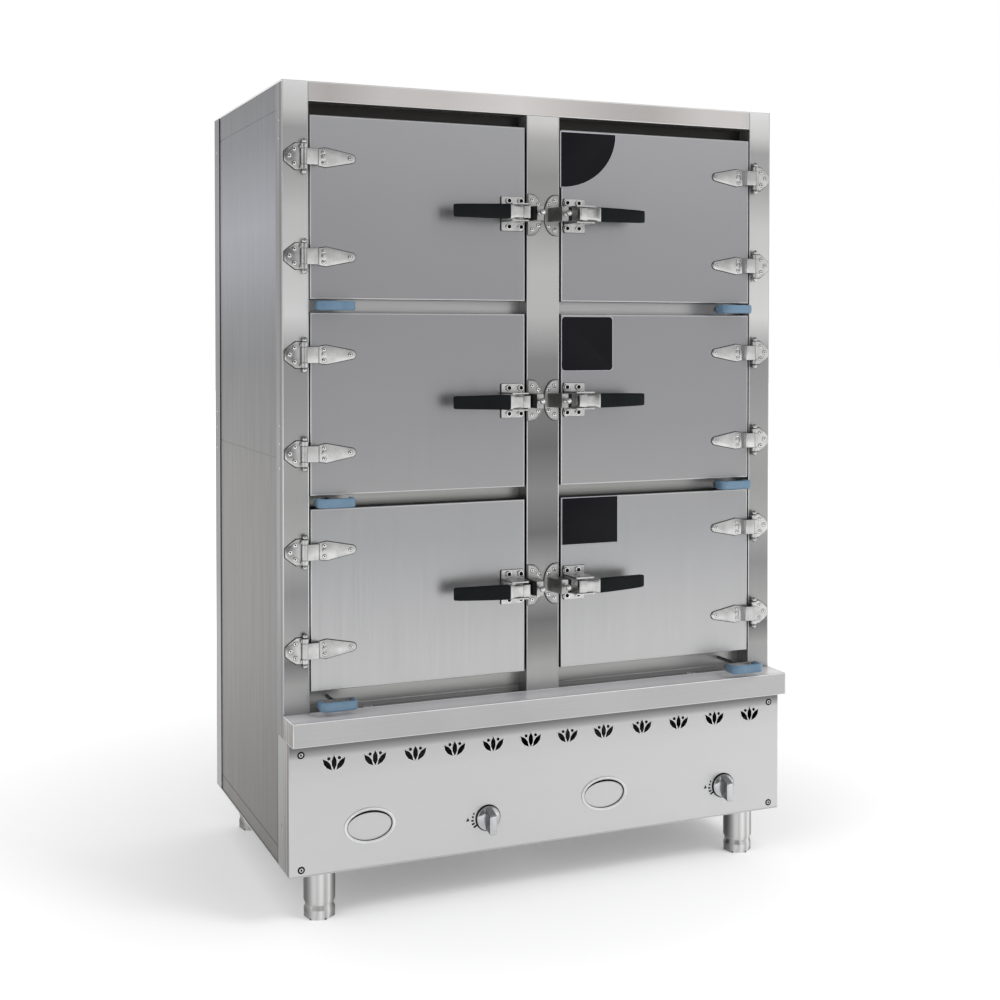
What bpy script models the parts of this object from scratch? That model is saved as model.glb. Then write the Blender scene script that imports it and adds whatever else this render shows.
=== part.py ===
"""Rice steamer cabinet: six steam chambers in two columns, each with its own door, latch and steam valve.

Lengths are in metres. Places are written in the cabinet's own frame: X across from the middle, Y back
from the front faces of the corner posts, Z up from the underside of the body. One empty carries it all.
"""

import math

import bmesh
import bpy
from mathutils import Matrix, Vector

# Body
body_width = 1.206
body_depth = 0.726
body_height = 1.700
sheet = 0.0015
joint_gap = 0.0003
overrun = 0.004
weld_overlap = 0.0004

# Front frame
post_width = 0.057
mullion_width = 0.080
header_height = 0.0425
header_shadow = 0.029
frame_recess = 0.050

# Doors
door_foot_gap = 0.0535
row_gap = 0.0295
row_count = 3
door_thickness = 0.040
door_skin = 0.0012
door_edge_round = 0.0015
hinge_side_gap = 0.003
latch_side_gap = 0.0055
gasket_width = 0.016
gasket_inset = 0.008
drain_slot_length = 0.060
drain_slot_width = 0.010

# Strap hinges
hinge_inset = 0.091
hinge_axis_inset = 0.046
hinge_axis_forward = 0.0095
knuckle_radius = 0.0075
pin_radius = 0.0040
pin_bore_clearance = 0.0007
strap_knuckle_half = 0.0167
knuckle_gap = 0.0004
frame_knuckle_height = 0.0105
finial_radius = 0.0060
finial_lift = 0.0048
leaf_thickness = 0.0030
leaf_slot_gap = 0.0008
leaf_inner_reach = 0.00375
leaf_reach = 0.0415
leaf_shoulder = 0.0180
leaf_half_height = 0.0280
leaf_point_half_height = 0.0095
strap_thickness = 0.0030
strap_raised_reach = 0.0270
strap_joggle = 0.0070
strap_wide_at = 0.0490
strap_half_height = 0.0170
strap_wide_half_height = 0.0205
strap_tip_at = 0.1050
strap_tip_radius = 0.0092
strap_tip_sweep_degrees = 72.0
strap_tip_steps = 4

# Latch bracket on the door
bracket_width = 0.0515
bracket_half_height = 0.0385
bracket_thickness = 0.0040
bracket_edge_inset = 0.0065
bracket_edge_round = 0.0020
ear_thickness = 0.0030
ear_inner_half = 0.0170
ear_forward = 0.0105
ear_left = 0.0220
ear_right = 0.0210
ear_chamfer = 0.0040
pivot_edge_inset = 0.0335
pivot_forward = 0.0550
pivot_pin_radius = 0.0030
pivot_pin_overhang = 0.0015

# Latch lever
lever_half_height = 0.0160
lever_hub_radius = 0.0085
lever_nose_reach = 0.0190
lever_nose_front = 0.0200
lever_nose_back = 0.0050
lever_neck_reach = 0.0350
lever_neck_front = 0.0235
lever_neck_back = 0.0110
lever_seam_width = 0.0012
lever_seam_depth = 0.0020
grip_start = 0.0305
grip_length = 0.1230
grip_bend_share = 0.88
grip_root_forward = 0.0150
grip_lean = 0.0190
grip_tip_lean = 0.0060
grip_thickness = 0.0190
grip_half_height = 0.0162
grip_edge_round = 0.0020

# Keeper on the mullion
keeper_thickness = 0.0030
keeper_edge_inset = 0.0015
keeper_width = 0.0370
keeper_straight = 0.0100
keeper_half_height = 0.0465
keeper_bow_steps = 8
housing_half_height = 0.0160
housing_reach = 0.0580
housing_front_width = 0.0160
housing_base_width = 0.0280
stud_inset = 0.0065
stud_radius = 0.0038
stud_reach = 0.0215
stud_head_radius = 0.0058
stud_head_length = 0.0080

# Steam valve pull rods
pull_inset = 0.110
pull_rod_radius = 0.0040
pull_rod_clearance = 0.0007
pull_drop_lowest = 0.0250
loop_width = 0.0840
loop_depth = 0.0600
loop_reach = 0.0430
loop_reach_lowest = 0.0590
lowest_right_pulled = 0.0400
loop_corner = 0.0150
loop_back_corner = 0.0075
loop_bar = 0.0055
loop_bar_half_height = 0.0050
sleeve_bar = 0.0120
sleeve_half_height = 0.0102
sleeve_wrap = 0.0420
sleeve_edge_round = 0.0025
gate_width = 0.0560
gate_length = 0.0900
gate_thickness = 0.0030
gate_clearance = 0.0005
gate_front = 0.5550
port_radius = 0.0180
port_wall = 0.0020
port_end_margin = 0.0120

# Steam chambers
chamber_side_inset = 0.030
chamber_height_inset = 0.026
chamber_back = 0.655
chamber_wall = 0.0012
ledge_width = 0.0140
ledge_thickness = 0.0020
ledge_front = 0.075
ledge_back_inset = 0.015
ledge_height_shares = (0.26, 0.64)

# Drip tray
tray_reach = 0.0836
tray_bottom = 0.287
tray_lip_top = 0.338
tray_floor_top = 0.331
tray_upstand_top = 0.341
tray_back = 0.060
tray_underlap = 0.0360
drain_hole_radius = 0.0060
drain_hole_inset = 0.197
drain_hole_back = 0.033

# Lower front panel
panel_reach = 0.0477
motif_first = 0.098
motif_last_inset = 0.0795
motif_left_count = 8
motif_left_pitch = 0.0912
motif_right_count = 4
motif_right_pitch = 0.0970
motif_height = 0.222
petal_length = 0.033
petal_width = 0.0125
petal_lean_degrees = 38.0
petal_offset = 0.015
petal_drop = 0.00325
petal_points = 3
dot_radius = 0.0040
dot_sides = 6
dot_offset = 0.0115
dot_lift = 0.0260
window_shares = (0.1468, 0.6119)
window_height = 0.0925
window_half_width = 0.0515
window_half_height = 0.0335
window_rim = 0.0060
window_rim_rise = 0.0018
window_segments = 20
knob_shares = (0.3731, 0.8731)
knob_height = 0.0735

# Window flaps
flap_thickness = 0.0012
flap_overlap = 0.0040
flap_gap = 0.0005
flap_trim_rise = 0.0024
flap_axis_back = 0.0047
flap_axis_lift = 0.0060
flap_pin_radius = 0.0022
flap_pin_clearance = 0.0005
flap_pin_half = 0.0400
flap_tab_half = 0.0200
flap_lug_width = 0.0040
flap_lug_inset = 0.0060
flap_lug_half = 0.0045

# Gas knobs
knob_radius = 0.0275
knob_base_height = 0.0110
knob_edge_round = 0.0020
knob_crown_overlap = 0.0001
knob_fin_thickness = 0.0165
knob_fin_front = 0.0380
knob_fin_back_top = 0.0240
knob_fin_front_top = 0.0150
knob_fin_back_low = -0.0250
knob_fin_front_low = -0.0305
knob_fin_round = 0.0030
knob_panel_gap = 0.0005
stem_radius = 0.0040
stem_clearance = 0.0006
stem_length = 0.0240
stem_sunk = 0.0055

# Gas manifold
valve_width = 0.034
valve_rise = 0.018
valve_drop = 0.034
valve_depth = 0.052
gas_pipe_radius = 0.0090
gas_pipe_front = 0.010
gas_pipe_low = 0.043
gas_pipe_stub = 0.034
gas_pipe_corner_inset = 0.073
gas_pipe_turn_back = 0.063
gas_pipe_side_inset = 0.0250
gas_pipe_overhang = 0.0300
gas_hole_clearance = 0.0007
jet_radius = 0.0050
jet_block_half = 0.0100
jet_back = 0.060
jet_tip_back = 0.086
jet_height = 0.0960

# Burners
burner_back = 0.380
burner_radius = 0.120
burner_bore = 0.045
burner_head_low = 0.072
burner_head_height = 0.032
burner_edge_round = 0.0107
burner_arm_reach = 0.096
burner_arm_depth = 0.013
burner_pedestal = 0.052
mixer_radius = 0.017
mixer_bore = 0.012
mixer_front = 0.094
mixer_end = 0.054

# Boilers
boiler_outer_inset = 0.048
boiler_inner_inset = 0.030
boiler_front = 0.075
boiler_back = 0.705
boiler_top = 0.298
boiler_wall = 0.0020
firebox_top = 0.150
firebox_door_half = 0.150
firebox_door_top = 0.125
riser_half_width = 0.036
riser_depth = 0.043
branch_half_width = 0.030
branch_height = 0.028

# Outer sheets
side_panel_thickness = 0.0012
side_panel_overlap = 0.012
side_seam_low = 0.039
side_seam_share = 0.5235
side_seam_drop = 0.060
side_seam_width = 0.0030
side_seam_depth = 0.0006
back_wrap = 0.057
back_vent_count = 5
back_vent_length = 0.220
back_vent_height = 0.008
back_vent_pitch = 0.024
back_vent_drop = 0.140

# Base and legs
base_plate = 0.0030
base_rim = 0.106
base_side_rim = 0.062
base_back_rim = 0.087
base_middle = 0.070
base_cross = 0.064
base_upstand = 0.037
base_upstand_wall = 0.0020
leg_inset = 0.080
leg_front = 0.0094
leg_back_inset = 0.050
leg_radius = 0.0340
leg_wall = 0.0025
leg_length = 0.068
leg_plug_height = 0.030
groove_depth = 0.0037
groove_height = 0.0100
foot_length = 0.0307
foot_shoulder = 0.0095
foot_flat_end = 0.0120
foot_base_radius = 0.0330
foot_hexagon_top_flat = 0.0480
foot_hexagon_low_flat = 0.0272
foot_turn_degrees = -20.0
foot_stem_radius = 0.0100
foot_stem_clearance = 0.0005
foot_stem_length = 0.0300

# Facets
round_sides = 16
knuckle_sides = 10
pin_sides = 8
corner_steps = 2
hexagon_sides = 6
crease_degrees = 32.0
parallel_share = 0.999
weld_distance = 0.000001

half_width = body_width / 2
return_depth = frame_recess - joint_gap
door_outer_x = half_width - post_width - hinge_side_gap
door_inner_x = mullion_width / 2 + latch_side_gap
gasket_depth = frame_recess - door_thickness - joint_gap
top_sheet_low = body_height - sheet
upright_top = top_sheet_low - joint_gap
upright_bottom = base_plate + joint_gap
first_door_top = body_height - header_height - header_shadow
door_stack = first_door_top - tray_floor_top - door_foot_gap
door_height = (door_stack - (row_count - 1) * row_gap) / row_count
row_pitch = door_height + row_gap
row_centres = tuple(first_door_top - door_height / 2 - row * row_pitch for row in range(row_count))
hinge_axis_x = half_width - hinge_axis_inset
hinge_rise = door_height / 2 - hinge_inset
knuckle_low = strap_knuckle_half + knuckle_gap
knuckle_high = knuckle_low + frame_knuckle_height
pivot_x = door_inner_x + pivot_edge_inset
keeper_x = mullion_width / 2 - keeper_edge_inset
pull_x = half_width - pull_inset
chamber_outer_x = door_outer_x - chamber_side_inset
chamber_inner_x = door_inner_x + chamber_side_inset
chamber_half = door_height / 2 - chamber_height_inset
chamber_front = frame_recess + sheet + joint_gap
panel_back_face = -panel_reach + sheet
port_back = gate_front + gate_length - port_radius - port_end_margin
boiler_outer_x = half_width - boiler_outer_inset
column_x = (boiler_outer_x + boiler_inner_inset) / 2
motif_places = [motif_first + index * motif_left_pitch for index in range(motif_left_count)]
for motif_index in range(motif_right_count):
    motif_places.append(body_width - motif_last_inset - motif_index * motif_right_pitch)
window_places = tuple(share * body_width for share in window_shares)
knob_places = tuple(share * body_width for share in knob_shares)
window_axis_height = window_height + window_half_height + flap_axis_lift
flap_axis_y = panel_back_face + flap_axis_back
gas_pipe_x = half_width - gas_pipe_side_inset
gas_pipe_corner = half_width - gas_pipe_corner_inset
gas_pipe_end = body_depth + gas_pipe_overhang
side_panel_x = half_width - sheet - joint_gap
side_seam_heights = (side_seam_low, side_seam_share * body_height, body_height - side_seam_drop)
back_vent_bottom = body_height - back_vent_drop
foot_top = -leg_length - groove_height - joint_gap
foot_bottom = foot_top - foot_length
farthest_front = loop_reach_lowest + lowest_right_pulled
front_plane_y = (farthest_front - gas_pipe_end) / 2

STEEL = "satin_steel"


def material(name, color, metallic, roughness):
    made = bpy.data.materials.new(name)
    made.use_nodes = True
    shader = made.node_tree.nodes["Principled BSDF"]
    shader.inputs["Base Color"].default_value = (*color, 1)
    shader.inputs["Metallic"].default_value = metallic
    shader.inputs["Roughness"].default_value = roughness
    made.diffuse_color = (*color, 1)
    return made


def clear_scene():
    for thing in list(bpy.data.objects):
        bpy.data.objects.remove(thing, do_unlink=True)


clear_scene()
parts = bpy.data.collections.new("rice_steamer_cabinet")
helpers = bpy.data.collections.new("cutters")
bpy.context.scene.collection.children.link(parts)
bpy.context.scene.collection.children.link(helpers)
helpers.hide_render = True

materials = {
    STEEL: material("satin_steel", (0.58, 0.58, 0.58), 1.0, 0.32),
    "door_steel": material("door_steel", (0.55, 0.55, 0.56), 1.0, 0.38),
    "cast_steel": material("cast_steel", (0.66, 0.66, 0.66), 1.0, 0.25),
    "black_grip": material("black_grip", (0.02, 0.02, 0.02), 0.0, 0.5),
    "blue_sleeve": material("blue_sleeve", (0.21, 0.37, 0.52), 0.0, 0.45),
    "chrome": material("chrome", (0.75, 0.75, 0.76), 1.0, 0.12),
    "cast_iron": material("cast_iron", (0.08, 0.08, 0.08), 0.6, 0.6),
    "brass": material("brass", (0.60, 0.42, 0.16), 1.0, 0.35),
}


# Blanks: plain solids that are joined to or cut from a piece, and then removed
def helper(mesh):
    made = bpy.data.objects.new("blank", mesh)
    made.hide_render = True
    made.display_type = "WIRE"
    helpers.objects.link(made)
    return made


def from_bmesh(shape):
    bmesh.ops.recalc_face_normals(shape, faces=shape.faces)
    mesh = bpy.data.meshes.new("blank")
    shape.to_mesh(mesh)
    shape.free()
    return helper(mesh)


def block(low, high, rounding=0.0, segments=1, along=None):
    """A box between two corners. Its edges can be rounded, all of them or those along one axis."""
    low, high = Vector(low), Vector(high)
    shape = bmesh.new()
    bmesh.ops.create_cube(shape, size=1.0)
    bmesh.ops.scale(shape, vec=high - low, verts=shape.verts)
    bmesh.ops.translate(shape, vec=(low + high) / 2, verts=shape.verts)
    if rounding:
        edges = list(shape.edges)
        if along is not None:
            edges = [e for e in edges if is_along(e, along)]
        bmesh.ops.bevel(shape, geom=edges, offset=rounding, segments=segments, profile=0.5, affect="EDGES")
    return from_bmesh(shape)


def is_along(edge, axis):
    span = edge.verts[1].co - edge.verts[0].co
    return abs(span[axis]) > parallel_share * span.length


def bar(start, end, radius, sides=round_sides, end_radius=None):
    """A straight round bar or cone between two points."""
    start, end = Vector(start), Vector(end)
    span = end - start
    shape = bmesh.new()
    far = radius if end_radius is None else end_radius
    bmesh.ops.create_cone(
        shape, cap_ends=True, segments=sides, radius1=radius, radius2=far, depth=span.length
    )
    turn = Vector((0, 0, 1)).rotation_difference(span).to_matrix().to_4x4()
    bmesh.ops.transform(shape, matrix=Matrix.Translation((start + end) / 2) @ turn, verts=shape.verts)
    return from_bmesh(shape)


def ball(centre, radius, sides=pin_sides):
    shape = bmesh.new()
    bmesh.ops.create_uvsphere(shape, u_segments=sides, v_segments=sides // 2, radius=radius)
    bmesh.ops.translate(shape, vec=centre, verts=shape.verts)
    return from_bmesh(shape)


def as_mesh(thing):
    """The evaluated object as a mesh helper, with its loose caps welded."""
    graph = bpy.context.evaluated_depsgraph_get()
    mesh = bpy.data.meshes.new_from_object(thing.evaluated_get(graph), depsgraph=graph)
    shape = bmesh.new()
    shape.from_mesh(mesh)
    bmesh.ops.transform(shape, matrix=thing.matrix_world, verts=shape.verts)
    bmesh.ops.remove_doubles(shape, verts=shape.verts, dist=weld_distance)
    bpy.data.objects.remove(thing, do_unlink=True)
    return from_bmesh(shape)


# An outline lies in a plane across one axis, and its two coordinates follow these
PLANES = {
    "X": Matrix(((0, 0, 1, 0), (1, 0, 0, 0), (0, 1, 0, 0), (0, 0, 0, 1))),
    "Y": Matrix(((1, 0, 0, 0), (0, 0, -1, 0), (0, 1, 0, 0), (0, 0, 0, 1))),
    "Z": Matrix.Identity(4),
}


def plate(loops, across, low, high, rounding=0.0):
    """Flat outlines, holes included, extruded across one axis from low to high."""
    curve = bpy.data.curves.new("outline", "CURVE")
    curve.dimensions = "2D"
    curve.fill_mode = "BOTH"
    curve.extrude = (high - low) / 2 - rounding
    curve.bevel_depth = rounding
    curve.bevel_resolution = 0
    curve.offset = -rounding
    for points in loops:
        spline = curve.splines.new("POLY")
        spline.points.add(len(points) - 1)
        for point, place in zip(spline.points, points):
            point.co = (*place, 0, 1)
        spline.use_cyclic_u = True
    made = bpy.data.objects.new("outline", curve)
    helpers.objects.link(made)
    middle = (low + high) / 2
    shift = {"X": (middle, 0, 0), "Y": (0, middle, 0), "Z": (0, 0, middle)}[across]
    made.matrix_world = Matrix.Translation(shift) @ PLANES[across]
    bpy.context.view_layer.update()
    return as_mesh(made)


def turned(profile, centre, sides=round_sides):
    """A profile of (radius, height) points, closed or ending on the axis, turned about a vertical axis."""
    mesh = bpy.data.meshes.new("profile")
    ends_on_axis = profile[0][0] == 0 and profile[-1][0] == 0
    edges = [(i, i + 1) for i in range(len(profile) - 1)]
    if not ends_on_axis:
        edges.append((len(profile) - 1, 0))
    mesh.from_pydata([(r, 0, z) for r, z in profile], edges, [])
    made = helper(mesh)
    screw = made.modifiers.new("turn", "SCREW")
    screw.steps = sides
    screw.render_steps = sides
    screw.use_merge_vertices = True
    screw.merge_threshold = weld_distance
    made.location = centre
    bpy.context.view_layer.update()
    return as_mesh(made)


def tube(points, radius, resolution=1):
    curve = bpy.data.curves.new("tube", "CURVE")
    curve.dimensions = "3D"
    curve.bevel_depth = radius
    curve.bevel_resolution = resolution
    curve.use_fill_caps = True
    spline = curve.splines.new("POLY")
    spline.points.add(len(points) - 1)
    for point, place in zip(spline.points, points):
        point.co = (*place, 1)
    made = bpy.data.objects.new("tube", curve)
    helpers.objects.link(made)
    bpy.context.view_layer.update()
    return as_mesh(made)


def moved(blank, shift):
    made = helper(blank.data.copy())
    made.data.transform(Matrix.Translation(shift))
    return made


def solid(joined, cut=(), shared=()):
    """One closed mesh: the first blank, with the others joined, kept only inside shared, less the cuts."""
    base = joined[0]
    steps = [("UNION", b) for b in joined[1:]]
    steps += [("INTERSECT", b) for b in shared]
    steps += [("DIFFERENCE", b) for b in cut]
    for operation, other in steps:
        modifier = base.modifiers.new(operation.lower(), "BOOLEAN")
        modifier.operation = operation
        modifier.solver = "EXACT"
        modifier.object = other
    bpy.context.view_layer.update()
    graph = bpy.context.evaluated_depsgraph_get()
    mesh = bpy.data.meshes.new_from_object(base.evaluated_get(graph), depsgraph=graph)
    for thing in (*joined, *cut, *shared):
        bpy.data.objects.remove(thing, do_unlink=True)
    return mesh


def shade(mesh):
    mesh.shade_smooth()
    mesh.set_sharp_from_angle(angle=math.radians(crease_degrees))


# Pieces: named objects whose origin lies where they turn, slide or stand
places = {}
root = bpy.data.objects.new("cabinet_frame", None)
root.location = (0, front_plane_y, -foot_bottom)
parts.objects.link(root)


def piece(name, mesh, slot, origin=(0, 0, 0), carrier=None):
    """Places a mesh, which is drawn about the origin that it gets here, on the cabinet or on a carrier."""
    made = bpy.data.objects.new(name, mesh)
    if not mesh.materials:
        mesh.materials.append(materials[slot])
        shade(mesh)
    parts.objects.link(made)
    made.parent = root if carrier is None else carrier
    base = Vector((0, 0, 0)) if carrier is None else places[carrier.name]
    places[name] = Vector(origin)
    made.location = Vector(origin) - base
    return made


def mirrored(mesh):
    """The same piece for the right-hand column."""
    shape = bmesh.new()
    shape.from_mesh(mesh)
    bmesh.ops.scale(shape, vec=(-1, 1, 1), verts=shape.verts)
    bmesh.ops.reverse_faces(shape, faces=shape.faces)
    made = bpy.data.meshes.new(mesh.name + "_right")
    shape.to_mesh(made)
    shape.free()
    return made


def both_columns(name, mesh, slot, x, y, row_heights, carriers=None):
    """One piece a row in each column. The mesh is drawn for the left column, about its own origin."""
    right = mirrored(mesh)
    made = {}
    for side, sign, drawn in (("left", -1, mesh), ("right", 1, right)):
        for row, height in row_heights:
            carrier = carriers[side, row] if carriers else None
            full = f"{name}_{side}_{row + 1}"
            made[side, row] = piece(full, drawn, slot, (sign * x, y, height), carrier)
    return made


# Outlines
def rectangle(x_low, x_high, y_low, y_high):
    return [(x_low, y_low), (x_high, y_low), (x_high, y_high), (x_low, y_high)]


def arc(centre, radius, start_degrees, end_degrees, steps, radius_y=None):
    tall = radius if radius_y is None else radius_y
    points = []
    for step in range(steps + 1):
        angle = math.radians(start_degrees + (end_degrees - start_degrees) * step / steps)
        points.append((centre[0] + radius * math.cos(angle), centre[1] + tall * math.sin(angle)))
    return points


def rounded(x_low, x_high, y_low, y_high, radii, steps=corner_steps):
    """A rectangle with its own corner radius at each corner, from the low corner anticlockwise."""
    corners = (
        (x_low, y_low, 1, 1, 180),
        (x_high, y_low, -1, 1, 270),
        (x_high, y_high, -1, -1, 0),
        (x_low, y_high, 1, -1, 90),
    )
    points = []
    for (x, y, right, up, start), radius in zip(corners, radii):
        centre = (x + right * radius, y + up * radius)
        points += arc(centre, radius, start, start + 90, steps)
    return points


def ellipse(centre, half_wide, half_high, steps=window_segments):
    return arc(centre, half_wide, 0, 360, steps, half_high)[:-1]


def channel(x_low, x_high, depth):
    """The plan of a folded post: a front face and two returns, open at the back."""
    return [
        (x_low, 0),
        (x_high, 0),
        (x_high, depth),
        (x_high - sheet, depth),
        (x_high - sheet, sheet),
        (x_low + sheet, sheet),
        (x_low + sheet, depth),
        (x_low, depth),
    ]


# Corner posts, with the fixed halves of the door hinges welded on
def hinge_leaf_outline():
    slot = knuckle_radius + leaf_slot_gap
    upper = [
        (-slot, knuckle_low + knuckle_gap),
        (leaf_inner_reach, knuckle_low + knuckle_gap),
        (leaf_inner_reach, knuckle_high - leaf_slot_gap),
        (-leaf_shoulder, leaf_half_height),
        (-leaf_reach, leaf_point_half_height),
    ]
    return upper + [(x, -z) for x, z in reversed(upper)]


def hinge_leaf():
    """The fixed half of one hinge, drawn about its axis: leaf, two knuckles, pin and ball ends."""
    face = hinge_axis_forward
    joined = [plate([hinge_leaf_outline()], "Y", face - leaf_thickness, face + weld_overlap)]
    joined.append(bar((0, 0, -knuckle_high), (0, 0, knuckle_high), pin_radius, pin_sides))
    for sign in (-1, 1):
        low, high = sorted((sign * knuckle_low, sign * knuckle_high))
        joined.append(bar((0, 0, low), (0, 0, high), knuckle_radius, knuckle_sides))
        joined.append(ball((0, 0, sign * (knuckle_high + finial_lift)), finial_radius))
    return helper(solid(joined))


def corner_posts():
    leaf = hinge_leaf()
    outline = channel(-half_width, -half_width + post_width, return_depth)
    joined = [plate([outline], "Z", upright_bottom, upright_top)]
    for centre in row_centres:
        for rise in (-hinge_rise, hinge_rise):
            joined.append(moved(leaf, (-hinge_axis_x, -hinge_axis_forward, centre + rise)))
    bpy.data.objects.remove(leaf, do_unlink=True)
    mesh = solid(joined)
    piece("left_corner_post", mesh, STEEL)
    piece("right_corner_post", mirrored(mesh), STEEL)


def mullion():
    outline = channel(-mullion_width / 2, mullion_width / 2, return_depth)
    low = tray_floor_top + joint_gap
    high = body_height - header_height - joint_gap
    piece("centre_mullion", solid([plate([outline], "Z", low, high)]), STEEL)


def top_cover():
    """The roof sheet, folded down in front as the header and back under it as a return."""
    header_low = body_height - header_height
    inner = half_width - post_width - joint_gap
    roof = block((-half_width, 0, top_sheet_low), (half_width, body_depth, body_height))
    fascia = block((-inner, 0, header_low), (inner, sheet, top_sheet_low + weld_overlap))
    lip = block((-inner, sheet - weld_overlap, header_low), (inner, return_depth, header_low + sheet))
    piece("top_cover", solid([roof, fascia, lip]), STEEL)


def rod_height(row):
    """The height of a pull rod's axis: in the gap under its door, and lower over the drip tray."""
    door_bottom = row_centres[row] - door_height / 2
    if row == row_count - 1:
        return door_bottom - pull_drop_lowest
    return door_bottom - row_gap / 2


def face_frame():
    """The recessed plate that the doors seal against, with the six chamber mouths and the rod holes."""
    side = side_panel_x - side_panel_thickness - joint_gap
    loops = [rectangle(-side, side, tray_floor_top + joint_gap, upright_top)]
    for row, centre in enumerate(row_centres):
        for sign in (-1, 1):
            x_low, x_high = sorted((sign * chamber_outer_x, sign * chamber_inner_x))
            loops.append(rectangle(x_low, x_high, centre - chamber_half, centre + chamber_half))
            hole = pull_rod_radius + pull_rod_clearance
            loops.append(arc((sign * pull_x, rod_height(row)), hole, 0, 360, pin_sides)[:-1])
    low = frame_recess
    piece("chamber_face_frame", solid([plate(loops, "Y", low, low + sheet)]), STEEL)


# Steam chambers
def chamber(row):
    """One chamber drawn about its own centre at the face frame: a box open in front, with shelf ledges."""
    outer_x, inner_x = -chamber_outer_x - chamber_wall, -chamber_inner_x + chamber_wall
    half = chamber_half + chamber_wall
    joined = [block((outer_x, chamber_front, -half), (inner_x, chamber_back, half))]
    drop = row_centres[row] - rod_height(row) - gate_thickness / 2 - gate_clearance
    collar_top = -chamber_half - chamber_wall / 2
    collar_radius = port_radius + port_wall
    joined.append(bar((-pull_x, port_back, -drop), (-pull_x, port_back, collar_top), collar_radius))
    hollow_low = (outer_x + chamber_wall, chamber_front - overrun, -chamber_half)
    hollow_high = (inner_x - chamber_wall, chamber_back - chamber_wall, chamber_half)
    cut = [block(hollow_low, hollow_high)]
    port_low = (-pull_x, port_back, -drop - overrun)
    cut.append(bar(port_low, (-pull_x, port_back, -chamber_half + overrun), port_radius))
    box = helper(solid(joined, cut))
    ledges = []
    for share in ledge_height_shares:
        height = -chamber_half + 2 * chamber_half * share
        for wall_x, sign in ((outer_x + chamber_wall / 2, 1), (inner_x - chamber_wall / 2, -1)):
            x_low, x_high = sorted((wall_x, wall_x + sign * (ledge_width + chamber_wall / 2)))
            low = (x_low, ledge_front, height - ledge_thickness / 2)
            high = (x_high, chamber_back - ledge_back_inset, height + ledge_thickness / 2)
            ledges.append(block(low, high))
    return solid([box, *ledges])


def chambers():
    upper = chamber(0)
    lowest = chamber(row_count - 1)
    for row, centre in enumerate(row_centres):
        mesh = lowest if row == row_count - 1 else upper
        piece(f"steam_chamber_left_{row + 1}", mesh, STEEL, (0, 0, centre))
    right_upper, right_lowest = mirrored(upper), mirrored(lowest)
    for row, centre in enumerate(row_centres):
        mesh = right_lowest if row == row_count - 1 else right_upper
        piece(f"steam_chamber_right_{row + 1}", mesh, STEEL, (0, 0, centre))


# Doors, drawn for the left column about the hinge axis at half height
def strap_outline():
    upper = [
        (-knuckle_radius, strap_half_height),
        (strap_raised_reach, strap_half_height),
        (strap_wide_at, strap_wide_half_height),
    ]
    sweep = strap_tip_sweep_degrees
    tip = arc((strap_tip_at, 0), strap_tip_radius, sweep, -sweep, strap_tip_steps)
    return upper + tip + [(x, -z) for x, z in reversed(upper)]


def strap_section():
    """The strap seen from above: raised at the knuckle, with a joggle down to the door."""
    front = -knuckle_radius
    back = front + strap_thickness
    door_face = hinge_axis_forward
    far = strap_tip_at + strap_tip_radius + overrun
    fold = strap_raised_reach + strap_joggle
    return [
        (0, front),
        (strap_raised_reach, front),
        (fold, door_face - strap_thickness),
        (far, door_face - strap_thickness),
        (far, door_face + weld_overlap),
        (fold - strap_thickness, door_face + weld_overlap),
        (strap_raised_reach - strap_thickness, back),
        (0, back),
    ]


def strap():
    joined = [plate([strap_section()], "Z", -strap_wide_half_height, strap_wide_half_height)]
    outline = plate([strap_outline()], "Y", -knuckle_radius - overrun, hinge_axis_forward + overrun)
    band = helper(solid(joined, shared=[outline]))
    half = strap_knuckle_half
    knuckle = bar((0, 0, -half), (0, 0, half), knuckle_radius, knuckle_sides)
    bore = pin_radius + pin_bore_clearance
    cut = [bar((0, 0, -half - overrun), (0, 0, half + overrun), bore, pin_sides)]
    return helper(solid([band, knuckle], cut))


def doors():
    near = hinge_axis_x - door_outer_x
    far = hinge_axis_x - door_inner_x
    face, back, half = hinge_axis_forward, hinge_axis_forward + door_thickness, door_height / 2
    slab = block((near, face, -half), (far, back, half), door_edge_round)
    inside = block(
        (near + door_skin, face + door_skin, -half + door_skin),
        (far - door_skin, back - door_skin, half - door_skin),
    )
    middle = (near + far) / 2
    slot_y = (face + back) / 2
    slot_low = (middle - drain_slot_length / 2, slot_y - drain_slot_width / 2, -half - overrun)
    slot_high = (middle + drain_slot_length / 2, slot_y + drain_slot_width / 2, -half + overrun)
    skin = helper(solid([slab], [inside, block(slot_low, slot_high)]))
    inset = gasket_inset
    outer = rectangle(near + inset, far - inset, -half + inset, half - inset)
    inset += gasket_width
    inner = rectangle(near + inset, far - inset, -half + inset, half - inset)
    gasket = plate([outer, inner], "Y", back - weld_overlap, back + gasket_depth)
    one_strap = strap()
    straps = [moved(one_strap, (0, 0, rise)) for rise in (-hinge_rise, hinge_rise)]
    bpy.data.objects.remove(one_strap, do_unlink=True)
    mesh = solid([skin, gasket, *straps])
    rows = list(enumerate(row_centres))
    return both_columns("door", mesh, "door_steel", hinge_axis_x, -hinge_axis_forward, rows)


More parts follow.
